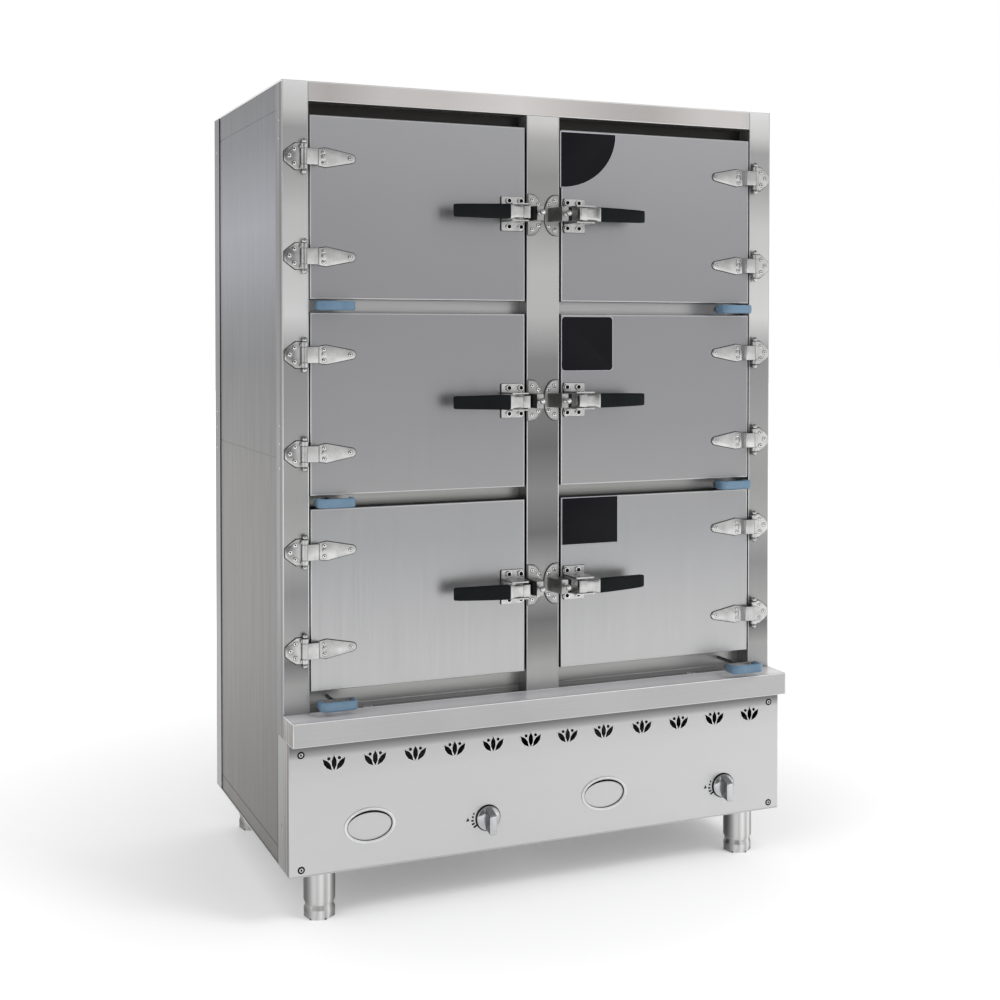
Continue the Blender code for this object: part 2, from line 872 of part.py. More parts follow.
# Latches: a bracket on the door, a lever with its grip, and a keeper on the mullion
def latch_brackets(door_pieces):
    """Drawn about the pivot of its lever."""
    edge = pivot_edge_inset
    face = pivot_forward - joint_gap
    plate_high = edge - bracket_edge_inset
    base = block(
        (plate_high - bracket_width, face - bracket_thickness, -bracket_half_height),
        (plate_high, face, bracket_half_height),
        bracket_edge_round,
        corner_steps,
        along=1,
    )
    ear = [
        (plate_high - bracket_width, face - weld_overlap),
        (-ear_left, -ear_forward),
        (ear_right - ear_chamfer, -ear_forward),
        (ear_right, -ear_forward + ear_chamfer),
        (plate_high, face - weld_overlap),
    ]
    outer_half = ear_inner_half + ear_thickness
    joined = [base]
    for low, high in ((ear_inner_half, outer_half), (-outer_half, -ear_inner_half)):
        joined.append(plate([ear], "Z", low, high))
    pin_end = outer_half + pivot_pin_overhang
    joined.append(bar((0, 0, -pin_end), (0, 0, pin_end), pivot_pin_radius, pin_sides))
    rows = list(enumerate(row_centres))
    return both_columns(
        "latch_bracket", solid(joined), "cast_steel", pivot_x, -pivot_forward, rows, door_pieces
    )


def offset_band(points, half):
    """The outline of a bar of even thickness along a centre line."""
    line = [Vector(p) for p in points]
    left, right = [], []
    for i, point in enumerate(line):
        ahead = (line[min(i + 1, len(line) - 1)] - line[max(i - 1, 0)]).normalized()
        across = Vector((-ahead.y, ahead.x)) * half
        left.append(tuple(point + across))
        right.append(tuple(point - across))
    return left + right[::-1]


def latch_levers(door_pieces):
    """Drawn about the pivot: a nose towards the keeper, a neck, and a grip that leans back to the door."""
    outline = [
        (-lever_neck_reach, -lever_neck_back),
        (-lever_neck_reach, -lever_neck_front),
        (lever_nose_reach, -lever_nose_front),
        (lever_nose_reach, -lever_nose_back),
        (lever_hub_radius, 0),
        (-lever_hub_radius, 0),
    ]
    body = plate([outline], "Z", -lever_half_height, lever_half_height)
    hub = bar((0, 0, -lever_half_height), (0, 0, lever_half_height), lever_hub_radius, pin_sides)
    start = Vector((-grip_start, -grip_root_forward))
    bend = start + Vector((-grip_length * grip_bend_share, grip_lean))
    end = Vector((start.x - grip_length, bend.y + grip_tip_lean))
    grip_outline = offset_band([tuple(start), tuple(bend), tuple(end)], grip_thickness / 2)
    grip = plate([grip_outline], "Z", -grip_half_height, grip_half_height, grip_edge_round)
    bore = pivot_pin_radius + pin_bore_clearance
    tall = lever_half_height + overrun
    cut = [bar((0, 0, -tall), (0, 0, tall), bore, pin_sides)]
    seam_low = (-lever_seam_width / 2, -lever_neck_front, -tall)
    seam_high = (lever_seam_width / 2, -lever_nose_front + lever_seam_depth - lever_seam_width, tall)
    cut.append(block(seam_low, seam_high))
    mesh = solid([body, hub, grip], cut)
    rows = list(enumerate(row_centres))
    both_columns("latch_lever", mesh, "black_grip", pivot_x, -pivot_forward, rows, door_pieces)


def keepers():
    """Drawn about the middle of the keeper's outer edge, on the mullion's face."""
    straight = [(0, keeper_half_height), (0, -keeper_half_height)]
    bow_reach = keeper_width - keeper_straight
    bow = arc((keeper_straight, 0), bow_reach, -90, 90, keeper_bow_steps, keeper_half_height)
    base = plate([straight + bow], "Y", -joint_gap - keeper_thickness, -joint_gap)
    root_y = -joint_gap - keeper_thickness + weld_overlap
    housing_outline = [
        (0, root_y),
        (0, -housing_reach),
        (housing_front_width, -housing_reach),
        (housing_base_width, root_y),
    ]
    housing = plate([housing_outline], "Z", -housing_half_height, housing_half_height)
    stud_end = -housing_reach - stud_reach
    stud = bar((stud_inset, -housing_reach + overrun, 0), (stud_inset, stud_end, 0), stud_radius, pin_sides)
    head_start = stud_end + stud_head_length
    head = bar((stud_inset, head_start, 0), (stud_inset, stud_end, 0), stud_head_radius, pin_sides)
    mesh = solid([base, housing, stud, head])
    rows = list(enumerate(row_centres))
    both_columns("latch_keeper", mesh, "cast_steel", keeper_x, 0, rows)


# Steam valves: a loop handle, its rod, and the gate plate at the rod's end
def loop_handle(reach):
    """The loop in front, with its soft sleeve over the front bar and the two corners."""
    half = loop_width / 2
    front, back = -reach, -reach + loop_depth
    inner_corner = loop_corner - sleeve_bar / 2
    hole = rounded(
        -half + sleeve_bar,
        half - sleeve_bar,
        front + sleeve_bar,
        back - loop_bar,
        (inner_corner, inner_corner, loop_bar, loop_bar),
    )
    inset = (sleeve_bar - loop_bar) / 2
    bar_outline = rounded(
        -half + inset,
        half - inset,
        front + inset,
        back,
        (loop_corner, loop_corner, loop_back_corner, loop_back_corner),
    )
    ring = plate([bar_outline], "Z", -loop_bar_half_height, loop_bar_half_height)
    outer = rounded(
        -half,
        half,
        front,
        front + sleeve_wrap,
        (loop_corner, loop_corner, sleeve_edge_round, sleeve_edge_round),
    )
    sleeve = plate([outer], "Z", -sleeve_half_height, sleeve_half_height, sleeve_edge_round)
    tall = sleeve_half_height + overrun
    return helper(solid([ring, sleeve], [plate([hole], "Z", -tall, tall)]))


def pull_rod(reach):
    rod_start = -reach + loop_depth - loop_bar / 2
    rod = bar((0, rod_start, 0), (0, gate_front + overrun, 0), pull_rod_radius, pin_sides)
    half = gate_thickness / 2
    gate = block((-gate_width / 2, gate_front, -half), (gate_width / 2, gate_front + gate_length, half))
    return solid([loop_handle(reach), rod, gate])


def pull_rods():
    """The lowest right one stands pulled out, as it does in the photograph."""
    upper_rows = [(row, rod_height(row)) for row in range(row_count - 1)]
    lowest = row_count - 1
    both_columns("steam_valve_pull", pull_rod(loop_reach), "blue_sleeve", pull_x, 0, upper_rows)
    mesh = pull_rod(loop_reach_lowest)
    for side, sign, y in (("left", -1, 0), ("right", 1, -lowest_right_pulled)):
        place = (sign * pull_x, y, rod_height(lowest))
        piece(f"steam_valve_pull_{side}_{row_count}", mesh, "blue_sleeve", place)


# Drip tray and lower front panel
def drip_tray():
    """A flat shelf before the posts, and behind it a channel with drain holes and an upstand."""
    inner = half_width - post_width - joint_gap
    front, side_end = -tray_reach, -joint_gap
    floor_low = tray_floor_top - sheet
    wide = half_width - sheet
    shelf = block((-half_width, front, tray_bottom), (half_width, side_end, tray_lip_top))
    hollow_low = (-wide, front + sheet, tray_bottom + sheet)
    hollow = block(hollow_low, (wide, side_end - sheet, tray_lip_top - sheet))
    mouth = block((-wide, front + tray_underlap, tray_bottom - overrun), (wide, overrun, floor_low))
    joined = [
        helper(solid([shelf], [hollow, mouth])),
        block((-inner, side_end - sheet, floor_low), (inner, tray_back, tray_floor_top)),
    ]
    cut = []
    upstand_back = frame_recess - joint_gap
    for sign in (-1, 1):
        x_low, x_high = sorted((sign * (mullion_width / 2 + joint_gap), sign * inner))
        upstand_low = (x_low, upstand_back - sheet, floor_low)
        joined.append(block(upstand_low, (x_high, upstand_back, tray_upstand_top)))
        x = sign * (half_width - drain_hole_inset)
        low = (x, drain_hole_back, floor_low - overrun)
        cut.append(bar(low, (x, drain_hole_back, tray_floor_top + overrun), drain_hole_radius, pin_sides))
    piece("drip_tray", solid(joined, cut), STEEL)


def petal(centre, lean_degrees):
    """A leaf shape, pointed at both ends, about its own middle."""
    lean = math.radians(lean_degrees)
    along = (math.sin(lean), math.cos(lean))
    across = (along[1], -along[0])
    side = []
    for step in range(1, petal_points):
        share = step / petal_points
        side.append((petal_length * (share - 0.5), petal_width / 2 * math.sin(math.pi * share)))
    half = petal_length / 2
    outline = [(-half, 0), *side, (half, 0), *((a, -c) for a, c in reversed(side))]
    return [
        (centre[0] + a * along[0] + c * across[0], centre[1] + a * along[1] + c * across[1])
        for a, c in outline
    ]


def motif(x):
    """One ventilation motif: three petals and two dots."""
    low = motif_height
    loops = [petal((x, low + petal_length / 2), 0)]
    for sign in (-1, 1):
        side = (x + sign * petal_offset, low + petal_length / 2 - petal_drop)
        loops.append(petal(side, sign * petal_lean_degrees))
        loops.append(arc((x + sign * dot_offset, low + dot_lift), dot_radius, 0, 360, dot_sides)[:-1])
    return loops


def flap_lugs(x):
    """Two lugs behind the panel that hold a window flap's pin."""
    joined = []
    low_y = panel_back_face - weld_overlap
    for sign in (-1, 1):
        middle = x + sign * (flap_pin_half - flap_lug_inset)
        low = (middle - flap_lug_width / 2, low_y, window_axis_height - flap_lug_half)
        top = window_axis_height + flap_lug_half
        high = (middle + flap_lug_width / 2, flap_axis_y + flap_lug_half, top)
        joined.append(block(low, high))
    return joined


def lower_front_panel():
    """A folded pan: its face, two side returns that run back to the posts, and a flange above and below."""
    front, low, top = -panel_reach, upright_bottom, tray_bottom - joint_gap
    joined = [block((-half_width, front, low), (half_width, -joint_gap, top))]
    inner_low = (-half_width + sheet, front + sheet, low + sheet)
    cut = [block(inner_low, (half_width - sheet, overrun, top - sheet))]
    openings = []
    for place in motif_places:
        openings += motif(place - half_width)
    for place in knob_places:
        hole = stem_radius + stem_clearance
        openings.append(arc((place - half_width, knob_height), hole, 0, 360, pin_sides)[:-1])
    shell = helper(solid(joined, cut))
    joined, cut = [shell], []
    for place in window_places:
        x = place - half_width
        wide, high = window_half_width + window_rim, window_half_height + window_rim
        rim = ellipse((x, window_height), wide, high)
        joined.append(plate([rim], "Y", front - window_rim_rise, front + weld_overlap))
        joined += flap_lugs(x)
        openings.append(ellipse((x, window_height), window_half_width, window_half_height))
        reach = flap_pin_half + overrun
        pin_low = (x - reach, flap_axis_y, window_axis_height)
        pin_high = (x + reach, flap_axis_y, window_axis_height)
        cut.append(bar(pin_low, pin_high, flap_pin_radius + flap_pin_clearance, pin_sides))
    cut.append(plate(openings, "Y", front - overrun, front + sheet + overrun))
    piece("lower_front_panel", solid(joined, cut), STEEL)


def window_flaps():
    """Drawn about the flap's pin: an oval plate that hangs behind its window and swings inwards."""
    centre = -(window_axis_height - window_height)
    front = panel_back_face + flap_gap - flap_axis_y
    wide, high = window_half_width + flap_overlap, window_half_height + flap_overlap
    oval = plate([ellipse((0, centre), wide, high)], "Y", front, front + flap_thickness)
    trim_top = centre + window_half_height + flap_trim_rise
    trim = block((-wide - overrun, front - overrun, trim_top), (wide + overrun, overrun, overrun))
    leaf = helper(solid([oval], [trim]))
    tab = block((-flap_tab_half, front, trim_top - overrun), (flap_tab_half, 0, 0))
    pin = bar((-flap_pin_half, 0, 0), (flap_pin_half, 0, 0), flap_pin_radius, pin_sides)
    mesh = solid([leaf, tab, pin])
    for side, place in zip(("left", "right"), window_places):
        origin = (place - half_width, flap_axis_y, window_axis_height)
        piece(f"window_flap_{side}", mesh, STEEL, origin)


def gas_knobs():
    """Drawn about the spindle where the knob meets the panel: a round base, a grip fin and the spindle."""
    base = bar((0, -knob_panel_gap, 0), (0, -knob_base_height + knob_edge_round, 0), knob_radius)
    crown_end = (0, -knob_base_height, 0)
    crown_start = (0, -knob_base_height + knob_edge_round + knob_crown_overlap, 0)
    crown = bar(crown_start, crown_end, knob_radius, round_sides, knob_radius - knob_edge_round)
    half = knob_fin_thickness / 2
    fin_back = -knob_base_height + weld_overlap
    fin_side = [
        (fin_back, knob_fin_back_low),
        (fin_back, knob_fin_back_top),
        (-knob_fin_front, knob_fin_front_top),
        (-knob_fin_front, knob_fin_front_low),
    ]
    fin = plate([fin_side], "X", -half, half, knob_fin_round)
    spindle = bar((0, stem_length, 0), (0, -stem_sunk, 0), stem_radius, pin_sides)
    mesh = solid([base, crown, fin, spindle])
    for side, place in zip(("left", "right"), knob_places):
        piece(f"gas_knob_{side}", mesh, "chrome", (place - half_width, -panel_reach, knob_height))


# Gas, fire and water
def gas_manifold():
    """Two valves behind the panel on one pipe, which leaves through the back, and a jet for each burner."""
    joined = []
    cut = []
    valve_front = panel_back_face + joint_gap
    for sign, place in zip((-1, 1), knob_places):
        x = place - half_width
        low = (x - valve_width / 2, valve_front, knob_height - valve_drop)
        high = (x + valve_width / 2, valve_front + valve_depth, knob_height + valve_rise)
        joined.append(block(low, high))
        jet_start = (x, valve_front + valve_depth / 2, jet_height)
        joined.append(block(
            (x - jet_block_half, jet_start[1] - jet_block_half, knob_height),
            (x + jet_block_half, jet_start[1] + jet_block_half, jet_height + jet_block_half),
        ))
        jet = [
            jet_start,
            (x, jet_back, jet_height),
            (sign * column_x, jet_back, jet_height),
            (sign * column_x, jet_tip_back, jet_height),
        ]
        joined.append(tube(jet, jet_radius))
        bore = stem_radius + stem_clearance
        bore_end = -panel_reach + stem_length + overrun
        bore_start = (x, valve_front - overrun, knob_height)
        cut.append(bar(bore_start, (x, bore_end, knob_height), bore, pin_sides))
    pipe = [
        (knob_places[0] - half_width - gas_pipe_stub, -gas_pipe_front, gas_pipe_low),
        (gas_pipe_corner, -gas_pipe_front, gas_pipe_low),
        (gas_pipe_corner, gas_pipe_turn_back, gas_pipe_low),
        (gas_pipe_x, gas_pipe_turn_back, gas_pipe_low),
        (gas_pipe_x, gas_pipe_end, gas_pipe_low),
    ]
    joined.append(tube(pipe, gas_pipe_radius))
    piece("gas_manifold", solid(joined, cut), "brass")


def burners():
    """A ring burner on a pedestal, with its mixing tube towards the jet."""
    top = burner_head_low + burner_head_height
    ring = turned(
        [
            (burner_bore, top),
            (burner_radius - burner_edge_round, top),
            (burner_radius, top - burner_edge_round),
            (burner_radius, burner_head_low),
            (burner_bore, burner_head_low),
        ],
        (0, 0, 0),
    )
    half = burner_pedestal / 2
    arm_low = (-half, -burner_arm_reach, burner_head_low - burner_arm_depth)
    arm = block(arm_low, (half, burner_arm_reach, burner_head_low + weld_overlap))
    pedestal = block((-half, -half, upright_bottom), (half, half, burner_head_low))
    mouth = mixer_front - burner_back
    mixer = bar((0, mouth, jet_height), (0, -mixer_end, jet_height), mixer_radius)
    cut = [bar((0, mouth - overrun, jet_height), (0, -burner_radius, jet_height), mixer_bore)]
    mesh = solid([ring, arm, pedestal, mixer], cut)
    for side, sign in (("left", -1), ("right", 1)):
        piece(f"burner_{side}", mesh, "cast_iron", (sign * column_x, burner_back, 0))


def boilers():
    """A water tank on its firebox, with the steam riser behind the chambers and a branch under each."""
    outer, inner = -boiler_outer_x, -boiler_inner_inset
    wall = boiler_wall
    joined = [block((outer, boiler_front, upright_bottom), (inner, boiler_back, boiler_top))]
    firebox_low = (outer + wall, boiler_front + wall, upright_bottom - overrun)
    cut = [block(firebox_low, (inner - wall, boiler_back - wall, firebox_top - wall))]
    water_low = (outer + wall, boiler_front + wall, firebox_top)
    cut.append(block(water_low, (inner - wall, boiler_back - wall, boiler_top - wall)))
    door_low = (-column_x - firebox_door_half, boiler_front - overrun, upright_bottom - overrun)
    door_high = (-column_x + firebox_door_half, boiler_front + overrun, firebox_door_top)
    cut.append(block(door_low, door_high))
    riser_front = boiler_back - riser_depth
    highest = rod_height(0) - gate_thickness / 2 - gate_clearance
    riser_low = (-pull_x - riser_half_width, riser_front, boiler_top - wall)
    joined.append(block(riser_low, (-pull_x + riser_half_width, boiler_back, highest)))
    hollow_low = (riser_low[0] + wall, riser_front + wall, boiler_top - wall - overrun)
    hollow_high = (-pull_x + riser_half_width - wall, boiler_back - wall, highest - wall)
    cut.append(block(hollow_low, hollow_high))
    for row in range(row_count):
        top = rod_height(row) - gate_thickness / 2 - gate_clearance
        low = (-pull_x - branch_half_width, port_back - branch_half_width, top - branch_height)
        joined.append(block(low, (-pull_x + branch_half_width, riser_front + wall, top)))
        inside_low = (low[0] + wall, low[1] + wall, low[2] + wall)
        inside_high = (-pull_x + branch_half_width - wall, riser_front + wall + overrun, top - wall)
        cut.append(block(inside_low, inside_high))
        port_low = (-pull_x, port_back, top - branch_height / 2)
        cut.append(bar(port_low, (-pull_x, port_back, top + overrun), port_radius))
    mesh = solid(joined, cut)
    piece("boiler_left", mesh, STEEL)
    piece("boiler_right", mirrored(mesh), STEEL)


# Outer sheets
def side_panels():
    outer = -side_panel_x
    inner = outer + side_panel_thickness
    low = (outer, side_panel_overlap, upright_bottom)
    high = (inner, body_depth - side_panel_overlap, upright_top)
    cut = []
    for height in side_seam_heights:
        seam_low = (outer - overrun, side_panel_overlap - overrun, height - side_seam_width / 2)
        seam_high = (outer + side_seam_depth, body_depth, height + side_seam_width / 2)
        cut.append(block(seam_low, seam_high))
    mesh = solid([block(low, high)], cut)
    piece("left_side_panel", mesh, STEEL)
    piece("right_side_panel", mirrored(mesh), STEEL)


def back_panel():
    """The back sheet, wrapped round both rear corners, with flue slots and the gas pipe's hole."""
    front = body_depth - back_wrap
    outline = [
        (-half_width, body_depth),
        (-half_width, front),
        (-half_width + sheet, front),
        (-half_width + sheet, body_depth - sheet),
        (half_width - sheet, body_depth - sheet),
        (half_width - sheet, front),
        (half_width, front),
        (half_width, body_depth),
    ]
    cut = []
    for index in range(back_vent_count):
        height = back_vent_bottom + index * back_vent_pitch
        for middle in (-half_width / 2, half_width / 2):
            low = (middle - back_vent_length / 2, body_depth - sheet - overrun, height)
            high = (middle + back_vent_length / 2, body_depth + overrun, height + back_vent_height)
            cut.append(block(low, high))
    hole = gas_pipe_radius + gas_hole_clearance
    behind = body_depth - sheet - overrun
    hole_end = (gas_pipe_x, body_depth + overrun, gas_pipe_low)
    cut.append(bar((gas_pipe_x, behind, gas_pipe_low), hole_end, hole))
    piece("back_panel", solid([plate([outline], "Z", upright_bottom, upright_top)], cut), STEEL)


def leg_places():
    for depth_name, y in (("front", leg_front), ("back", body_depth - leg_back_inset)):
        for side, sign in (("left", -1), ("right", 1)):
            yield f"{depth_name}_{side}", sign * (half_width - leg_inset), y


def leg_tube(x, y):
    """A round leg with a threaded plug in its lower end, turned in one piece here."""
    plug_low = -leg_length - groove_height
    bore = foot_stem_radius + foot_stem_clearance
    inner = leg_radius - leg_wall
    profile = [
        (leg_radius, base_plate / 2),
        (leg_radius, -leg_length),
        (leg_radius - groove_depth, plug_low),
        (bore, plug_low),
        (bore, plug_low + leg_plug_height),
        (inner, plug_low + leg_plug_height),
        (inner, base_plate / 2),
    ]
    return turned(profile, (x, y, 0))


def base_frame():
    """The folded base ring that everything stands on, with its upstands and the four leg tubes."""
    front, back = panel_back_face + joint_gap, body_depth - sheet - joint_gap
    window_front, window_back = front + base_rim, back - base_back_rim
    side_inner = half_width - base_side_rim
    loops = [rectangle(-half_width, half_width, -panel_reach, body_depth)]
    cross_low, cross_high = burner_back - base_cross / 2, burner_back + base_cross / 2
    for x_low, x_high in ((-side_inner, -base_middle / 2), (base_middle / 2, side_inner)):
        loops.append(rectangle(x_low, x_high, window_front, cross_low))
        loops.append(rectangle(x_low, x_high, cross_high, window_back))
    joined = [plate(loops, "Z", 0, base_plate)]
    upstand_x = side_panel_x - side_panel_thickness - joint_gap
    for sign in (-1, 1):
        x_low, x_high = sorted((sign * upstand_x, sign * (upstand_x - base_upstand_wall)))
        low = (x_low, window_front, base_plate - weld_overlap)
        joined.append(block(low, (x_high, window_back, base_upstand)))
    for _, x, y in leg_places():
        joined.append(leg_tube(x, y))
    piece("base_frame", solid(joined), STEEL)


def feet():
    """A screw foot, drawn about the top of its collar: a round neck that runs into a hexagon."""
    groove_radius = leg_radius - groove_depth
    shoulder = -foot_shoulder
    neck = turned(
        [
            (0, foot_stem_length),
            (foot_stem_radius, foot_stem_length),
            (foot_stem_radius, 0),
            (groove_radius, 0),
            (leg_radius, shoulder),
            (leg_radius, -foot_flat_end),
            (foot_base_radius, -foot_length),
            (0, -foot_length),
        ],
        (0, 0, 0),
    )
    corner = 1 / math.cos(math.pi / hexagon_sides)
    hexagon = bar(
        (0, 0, foot_stem_length + overrun),
        (0, 0, -foot_length - overrun),
        foot_hexagon_top_flat * corner,
        hexagon_sides,
        foot_hexagon_low_flat * corner,
    )
    mesh = solid([neck], shared=[hexagon])
    mesh.transform(Matrix.Rotation(math.radians(foot_turn_degrees), 4, "Z"))
    for name, x, y in leg_places():
        piece(f"foot_{name}", mesh, STEEL, (x, y, foot_top))


def build():
    base_frame()
    feet()
    corner_posts()
    mullion()
    top_cover()
    face_frame()
    chambers()
    door_pieces = doors()
    latch_brackets(door_pieces)
    latch_levers(door_pieces)
    keepers()
    pull_rods()
    drip_tray()
    lower_front_panel()
    window_flaps()
    gas_knobs()
    gas_manifold()
    burners()
    boilers()
    side_panels()
    back_panel()


build()
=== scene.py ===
"""Dresses the rice steamer cabinet: finishes for its sheets and castings, grips, sleeves, screws and trim."""

import math

import bmesh
import bpy
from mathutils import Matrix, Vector


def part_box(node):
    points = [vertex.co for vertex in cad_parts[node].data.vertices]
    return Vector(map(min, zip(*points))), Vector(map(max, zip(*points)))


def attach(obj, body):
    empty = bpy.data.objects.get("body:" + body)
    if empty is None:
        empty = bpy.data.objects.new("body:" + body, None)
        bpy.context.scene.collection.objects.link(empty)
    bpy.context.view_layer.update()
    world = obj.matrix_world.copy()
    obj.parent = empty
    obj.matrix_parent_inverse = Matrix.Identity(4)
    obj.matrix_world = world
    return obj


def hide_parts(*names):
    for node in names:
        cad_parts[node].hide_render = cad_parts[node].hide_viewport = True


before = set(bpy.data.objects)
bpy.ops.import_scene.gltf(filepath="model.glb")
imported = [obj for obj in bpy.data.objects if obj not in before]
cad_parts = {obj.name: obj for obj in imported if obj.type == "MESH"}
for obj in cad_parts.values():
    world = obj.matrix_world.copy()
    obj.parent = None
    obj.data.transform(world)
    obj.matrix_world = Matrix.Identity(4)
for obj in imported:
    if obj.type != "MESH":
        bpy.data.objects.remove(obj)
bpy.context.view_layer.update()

MM = 0.001
SIDES = (("left", -1), ("right", 1))
ROWS = (1, 2, 3)
FRONT, BACK, UP = (0, -1, 0), (0, 1, 0), (0, 0, 1)

# The cabinet's own datums, read from its solids
front_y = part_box("top_cover")[0].y
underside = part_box("back_panel")[0].z - 3.3 * MM

# Places in millimetres: X from the middle, Y back from the door faces, Z up from the body's underside
half_body = 603
door_near, door_far, door_half_high = 45.5, 543.0, 197.5
HINGE_RISES = (-106.5, 106.5)
axis_x, axis_y = 557.0, -9.5
pivot_x, pivot_y = 79.0, -55.0
keeper_edge = 38.5
panel_face = -47.7
leg_x, leg_y = 523, (9.4, 676)
window_x, window_z, window_pitch = -426.0, 92.5, 560.9
window_half_wide, window_half_high = 51.5, 33.5
tap_z = 73.5
drain_x, drain_y, channel_floor = 406, 33, 331


def at(x, y, z):
    """A place on the cabinet in millimetres, as above."""
    return Vector((x * MM, front_y + y * MM, underside + z * MM))


def row_middle(row):
    low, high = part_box(f"door_left_{row}")
    return ((low.z + high.z) / 2 - underside) / MM


DOORS = [(side, sign, row, row_middle(row)) for side, sign in SIDES for row in ROWS]


# Colours are written as sRGB hex and turned to linear light here
def linear(code):
    channels = [int(code[i:i + 2], 16) / 255 for i in (1, 3, 5)]
    return (*(c / 12.92 if c <= 0.04045 else ((c + 0.055) / 1.055) ** 2.4 for c in channels), 1.0)


def add(tree, kind, inputs=None, stops=(), **settings):
    """One node with its settings. An input is a value or another node's output, and stops are the shares and
    colours, or greys, of a ramp."""
    made = tree.nodes.new(kind)
    for name, value in settings.items():
        setattr(made, name, value)
    for socket, value in (inputs or {}).items():
        if isinstance(value, bpy.types.NodeSocket):
            tree.links.new(value, made.inputs[socket])
        else:
            made.inputs[socket].default_value = value
    if stops:
        elements = made.color_ramp.elements
        while len(elements) < len(stops):
            elements.new(0.5)
        for element, (share, color) in zip(elements, stops):
            element.position = share
            element.color = linear(color) if isinstance(color, str) else (color, color, color, 1)
    return made


def finish_named(name):
    """A new material with its tree, its shader and the object's own coordinates."""
    made = bpy.data.materials.new(name)
    made.use_nodes = True
    tree = made.node_tree
    return made, tree, tree.nodes["Principled BSDF"], add(tree, "ShaderNodeTexCoord").outputs["Object"]


def tone_along(tree, here, axis, tones):
    """Colours at places along an axis, in millimetres from the cabinet's datums."""
    base = {"X": 0, "Y": front_y, "Z": underside}[axis]
    low, high = tones[0][0], tones[-1][0]
    place = add(tree, "ShaderNodeSeparateXYZ", {"Vector": here}).outputs[axis]
    share = add(tree, "ShaderNodeMapRange", {
        "Value": place, "From Min": base + low * MM, "From Max": base + high * MM}).outputs["Result"]
    stops = [((spot - low) / (high - low), color) for spot, color in tones]
    return add(tree, "ShaderNodeValToRGB", {"Fac": share}, stops).outputs["Color"]


def surface(tree, shader, color, pattern, roughness, either_way, metallic, strength, relief_mm):
    """Gives a shader its colour, and a pattern that varies its roughness and stands in relief."""
    tree.links.new(color, shader.inputs["Base Color"])
    rough = add(tree, "ShaderNodeValToRGB", {"Fac": pattern}, [
        (0.3, roughness - either_way), (0.7, roughness + either_way)])
    tree.links.new(rough.outputs["Color"], shader.inputs["Roughness"])
    shader.inputs["Metallic"].default_value = metallic
    bump = add(tree, "ShaderNodeBump", {"Height": pattern, "Strength": strength, "Distance": relief_mm * MM})
    tree.links.new(bump.outputs["Normal"], shader.inputs["Normal"])


def steel(name, tones, axis="Z", grain="Z", roughness=0.33, vary=0.07, cloud_mm=330, metallic=0.88):
    """Stainless sheet with a brushed No. 4 finish. Its tones are painted reflections: the pale and dark bands
    of a room that such a sheet mirrors as one soft streak, painted into its colour. The brush lines are 0.1
    mm apart in life;
    they are drawn 3 mm wide and 260 mm long so that they just show."""
    made, tree, shader, here = finish_named(name)
    across, along = 1000 / 3.0, 1000 / 260.0
    scale = {"X": (along, across, across), "Z": (across, across, along)}[grain]
    stretched = add(tree, "ShaderNodeMapping", {"Vector": here, "Scale": scale}).outputs["Vector"]
    lines = add(tree, "ShaderNodeTexNoise", {
        "Vector": stretched, "Scale": 1.0, "Detail": 3.0, "Roughness": 0.6}).outputs["Fac"]
    clouds = add(tree, "ShaderNodeTexNoise", {
        "Vector": here, "Scale": 1000 / cloud_mm, "Detail": 2.0, "Roughness": 0.5}).outputs["Fac"]
    mixed = add(tree, "ShaderNodeMix", {"Factor": 0.35, "A": clouds, "B": lines}).outputs["Result"]
    shade = add(tree, "ShaderNodeValToRGB", {"Fac": mixed}, [(0.3, 1.0 - vary), (0.7, 1.0)]).outputs["Color"]
    color = add(tree, "ShaderNodeMix", {
        "Factor": 1.0, "A": tone_along(tree, here, axis, tones), "B": shade},
        data_type="RGBA", blend_type="MULTIPLY").outputs["Result"]
    surface(tree, shader, color, lines, roughness, 0.05, metallic, strength=0.04, relief_mm=0.4)
    return made


def grained(name, pale, deep, roughness, metallic, grain_mm, broad_mm, strength, shine=0.5):
    """Cast, plated, moulded or dipped surfaces: fine pits or leather grain over a slow change of tone."""
    made, tree, shader, here = finish_named(name)
    fine = add(tree, "ShaderNodeTexNoise", {
        "Vector": here, "Scale": 1000 / grain_mm, "Detail": 4.0, "Roughness": 0.62}).outputs["Fac"]
    broad = add(tree, "ShaderNodeTexNoise", {
        "Vector": here, "Scale": 1000 / broad_mm, "Detail": 2.0, "Roughness": 0.5}).outputs["Fac"]
    mixed = add(tree, "ShaderNodeMix", {"Factor": 0.38, "A": broad, "B": fine}).outputs["Result"]
    color = add(tree, "ShaderNodeValToRGB", {"Fac": mixed}, [(0.35, deep), (0.65, pale)]).outputs["Color"]
    either_way = min(0.05, roughness * 0.4)
    surface(tree, shader, color, fine, roughness, either_way, metallic, strength, relief_mm=0.3)
    shader.inputs["Specular IOR Level"].default_value = shine
    return made


# Brushed sheet, its tones painted reflections. Posts: painted dull reflection bands up to the middle, a
# painted bright reflection above it
post_sheet = steel("brushed_stainless_post", [
    (290, "#939393"), (360, "#969696"), (400, "#949493"), (450, "#6b6b6b"), (500, "#979796"),
    (600, "#848484"), (700, "#9e9e9d"), (800, "#969695"), (900, "#9b9b9a"), (1000, "#949494"),
    (1100, "#8f8f8f"), (1200, "#d3d3d2"), (1300, "#cbcbca"), (1420, "#c5c5c4"), (1520, "#a8a8a7"),
    (1600, "#a3a3a3"), (1640, "#cececc"), (1700, "#e2e2e2")])
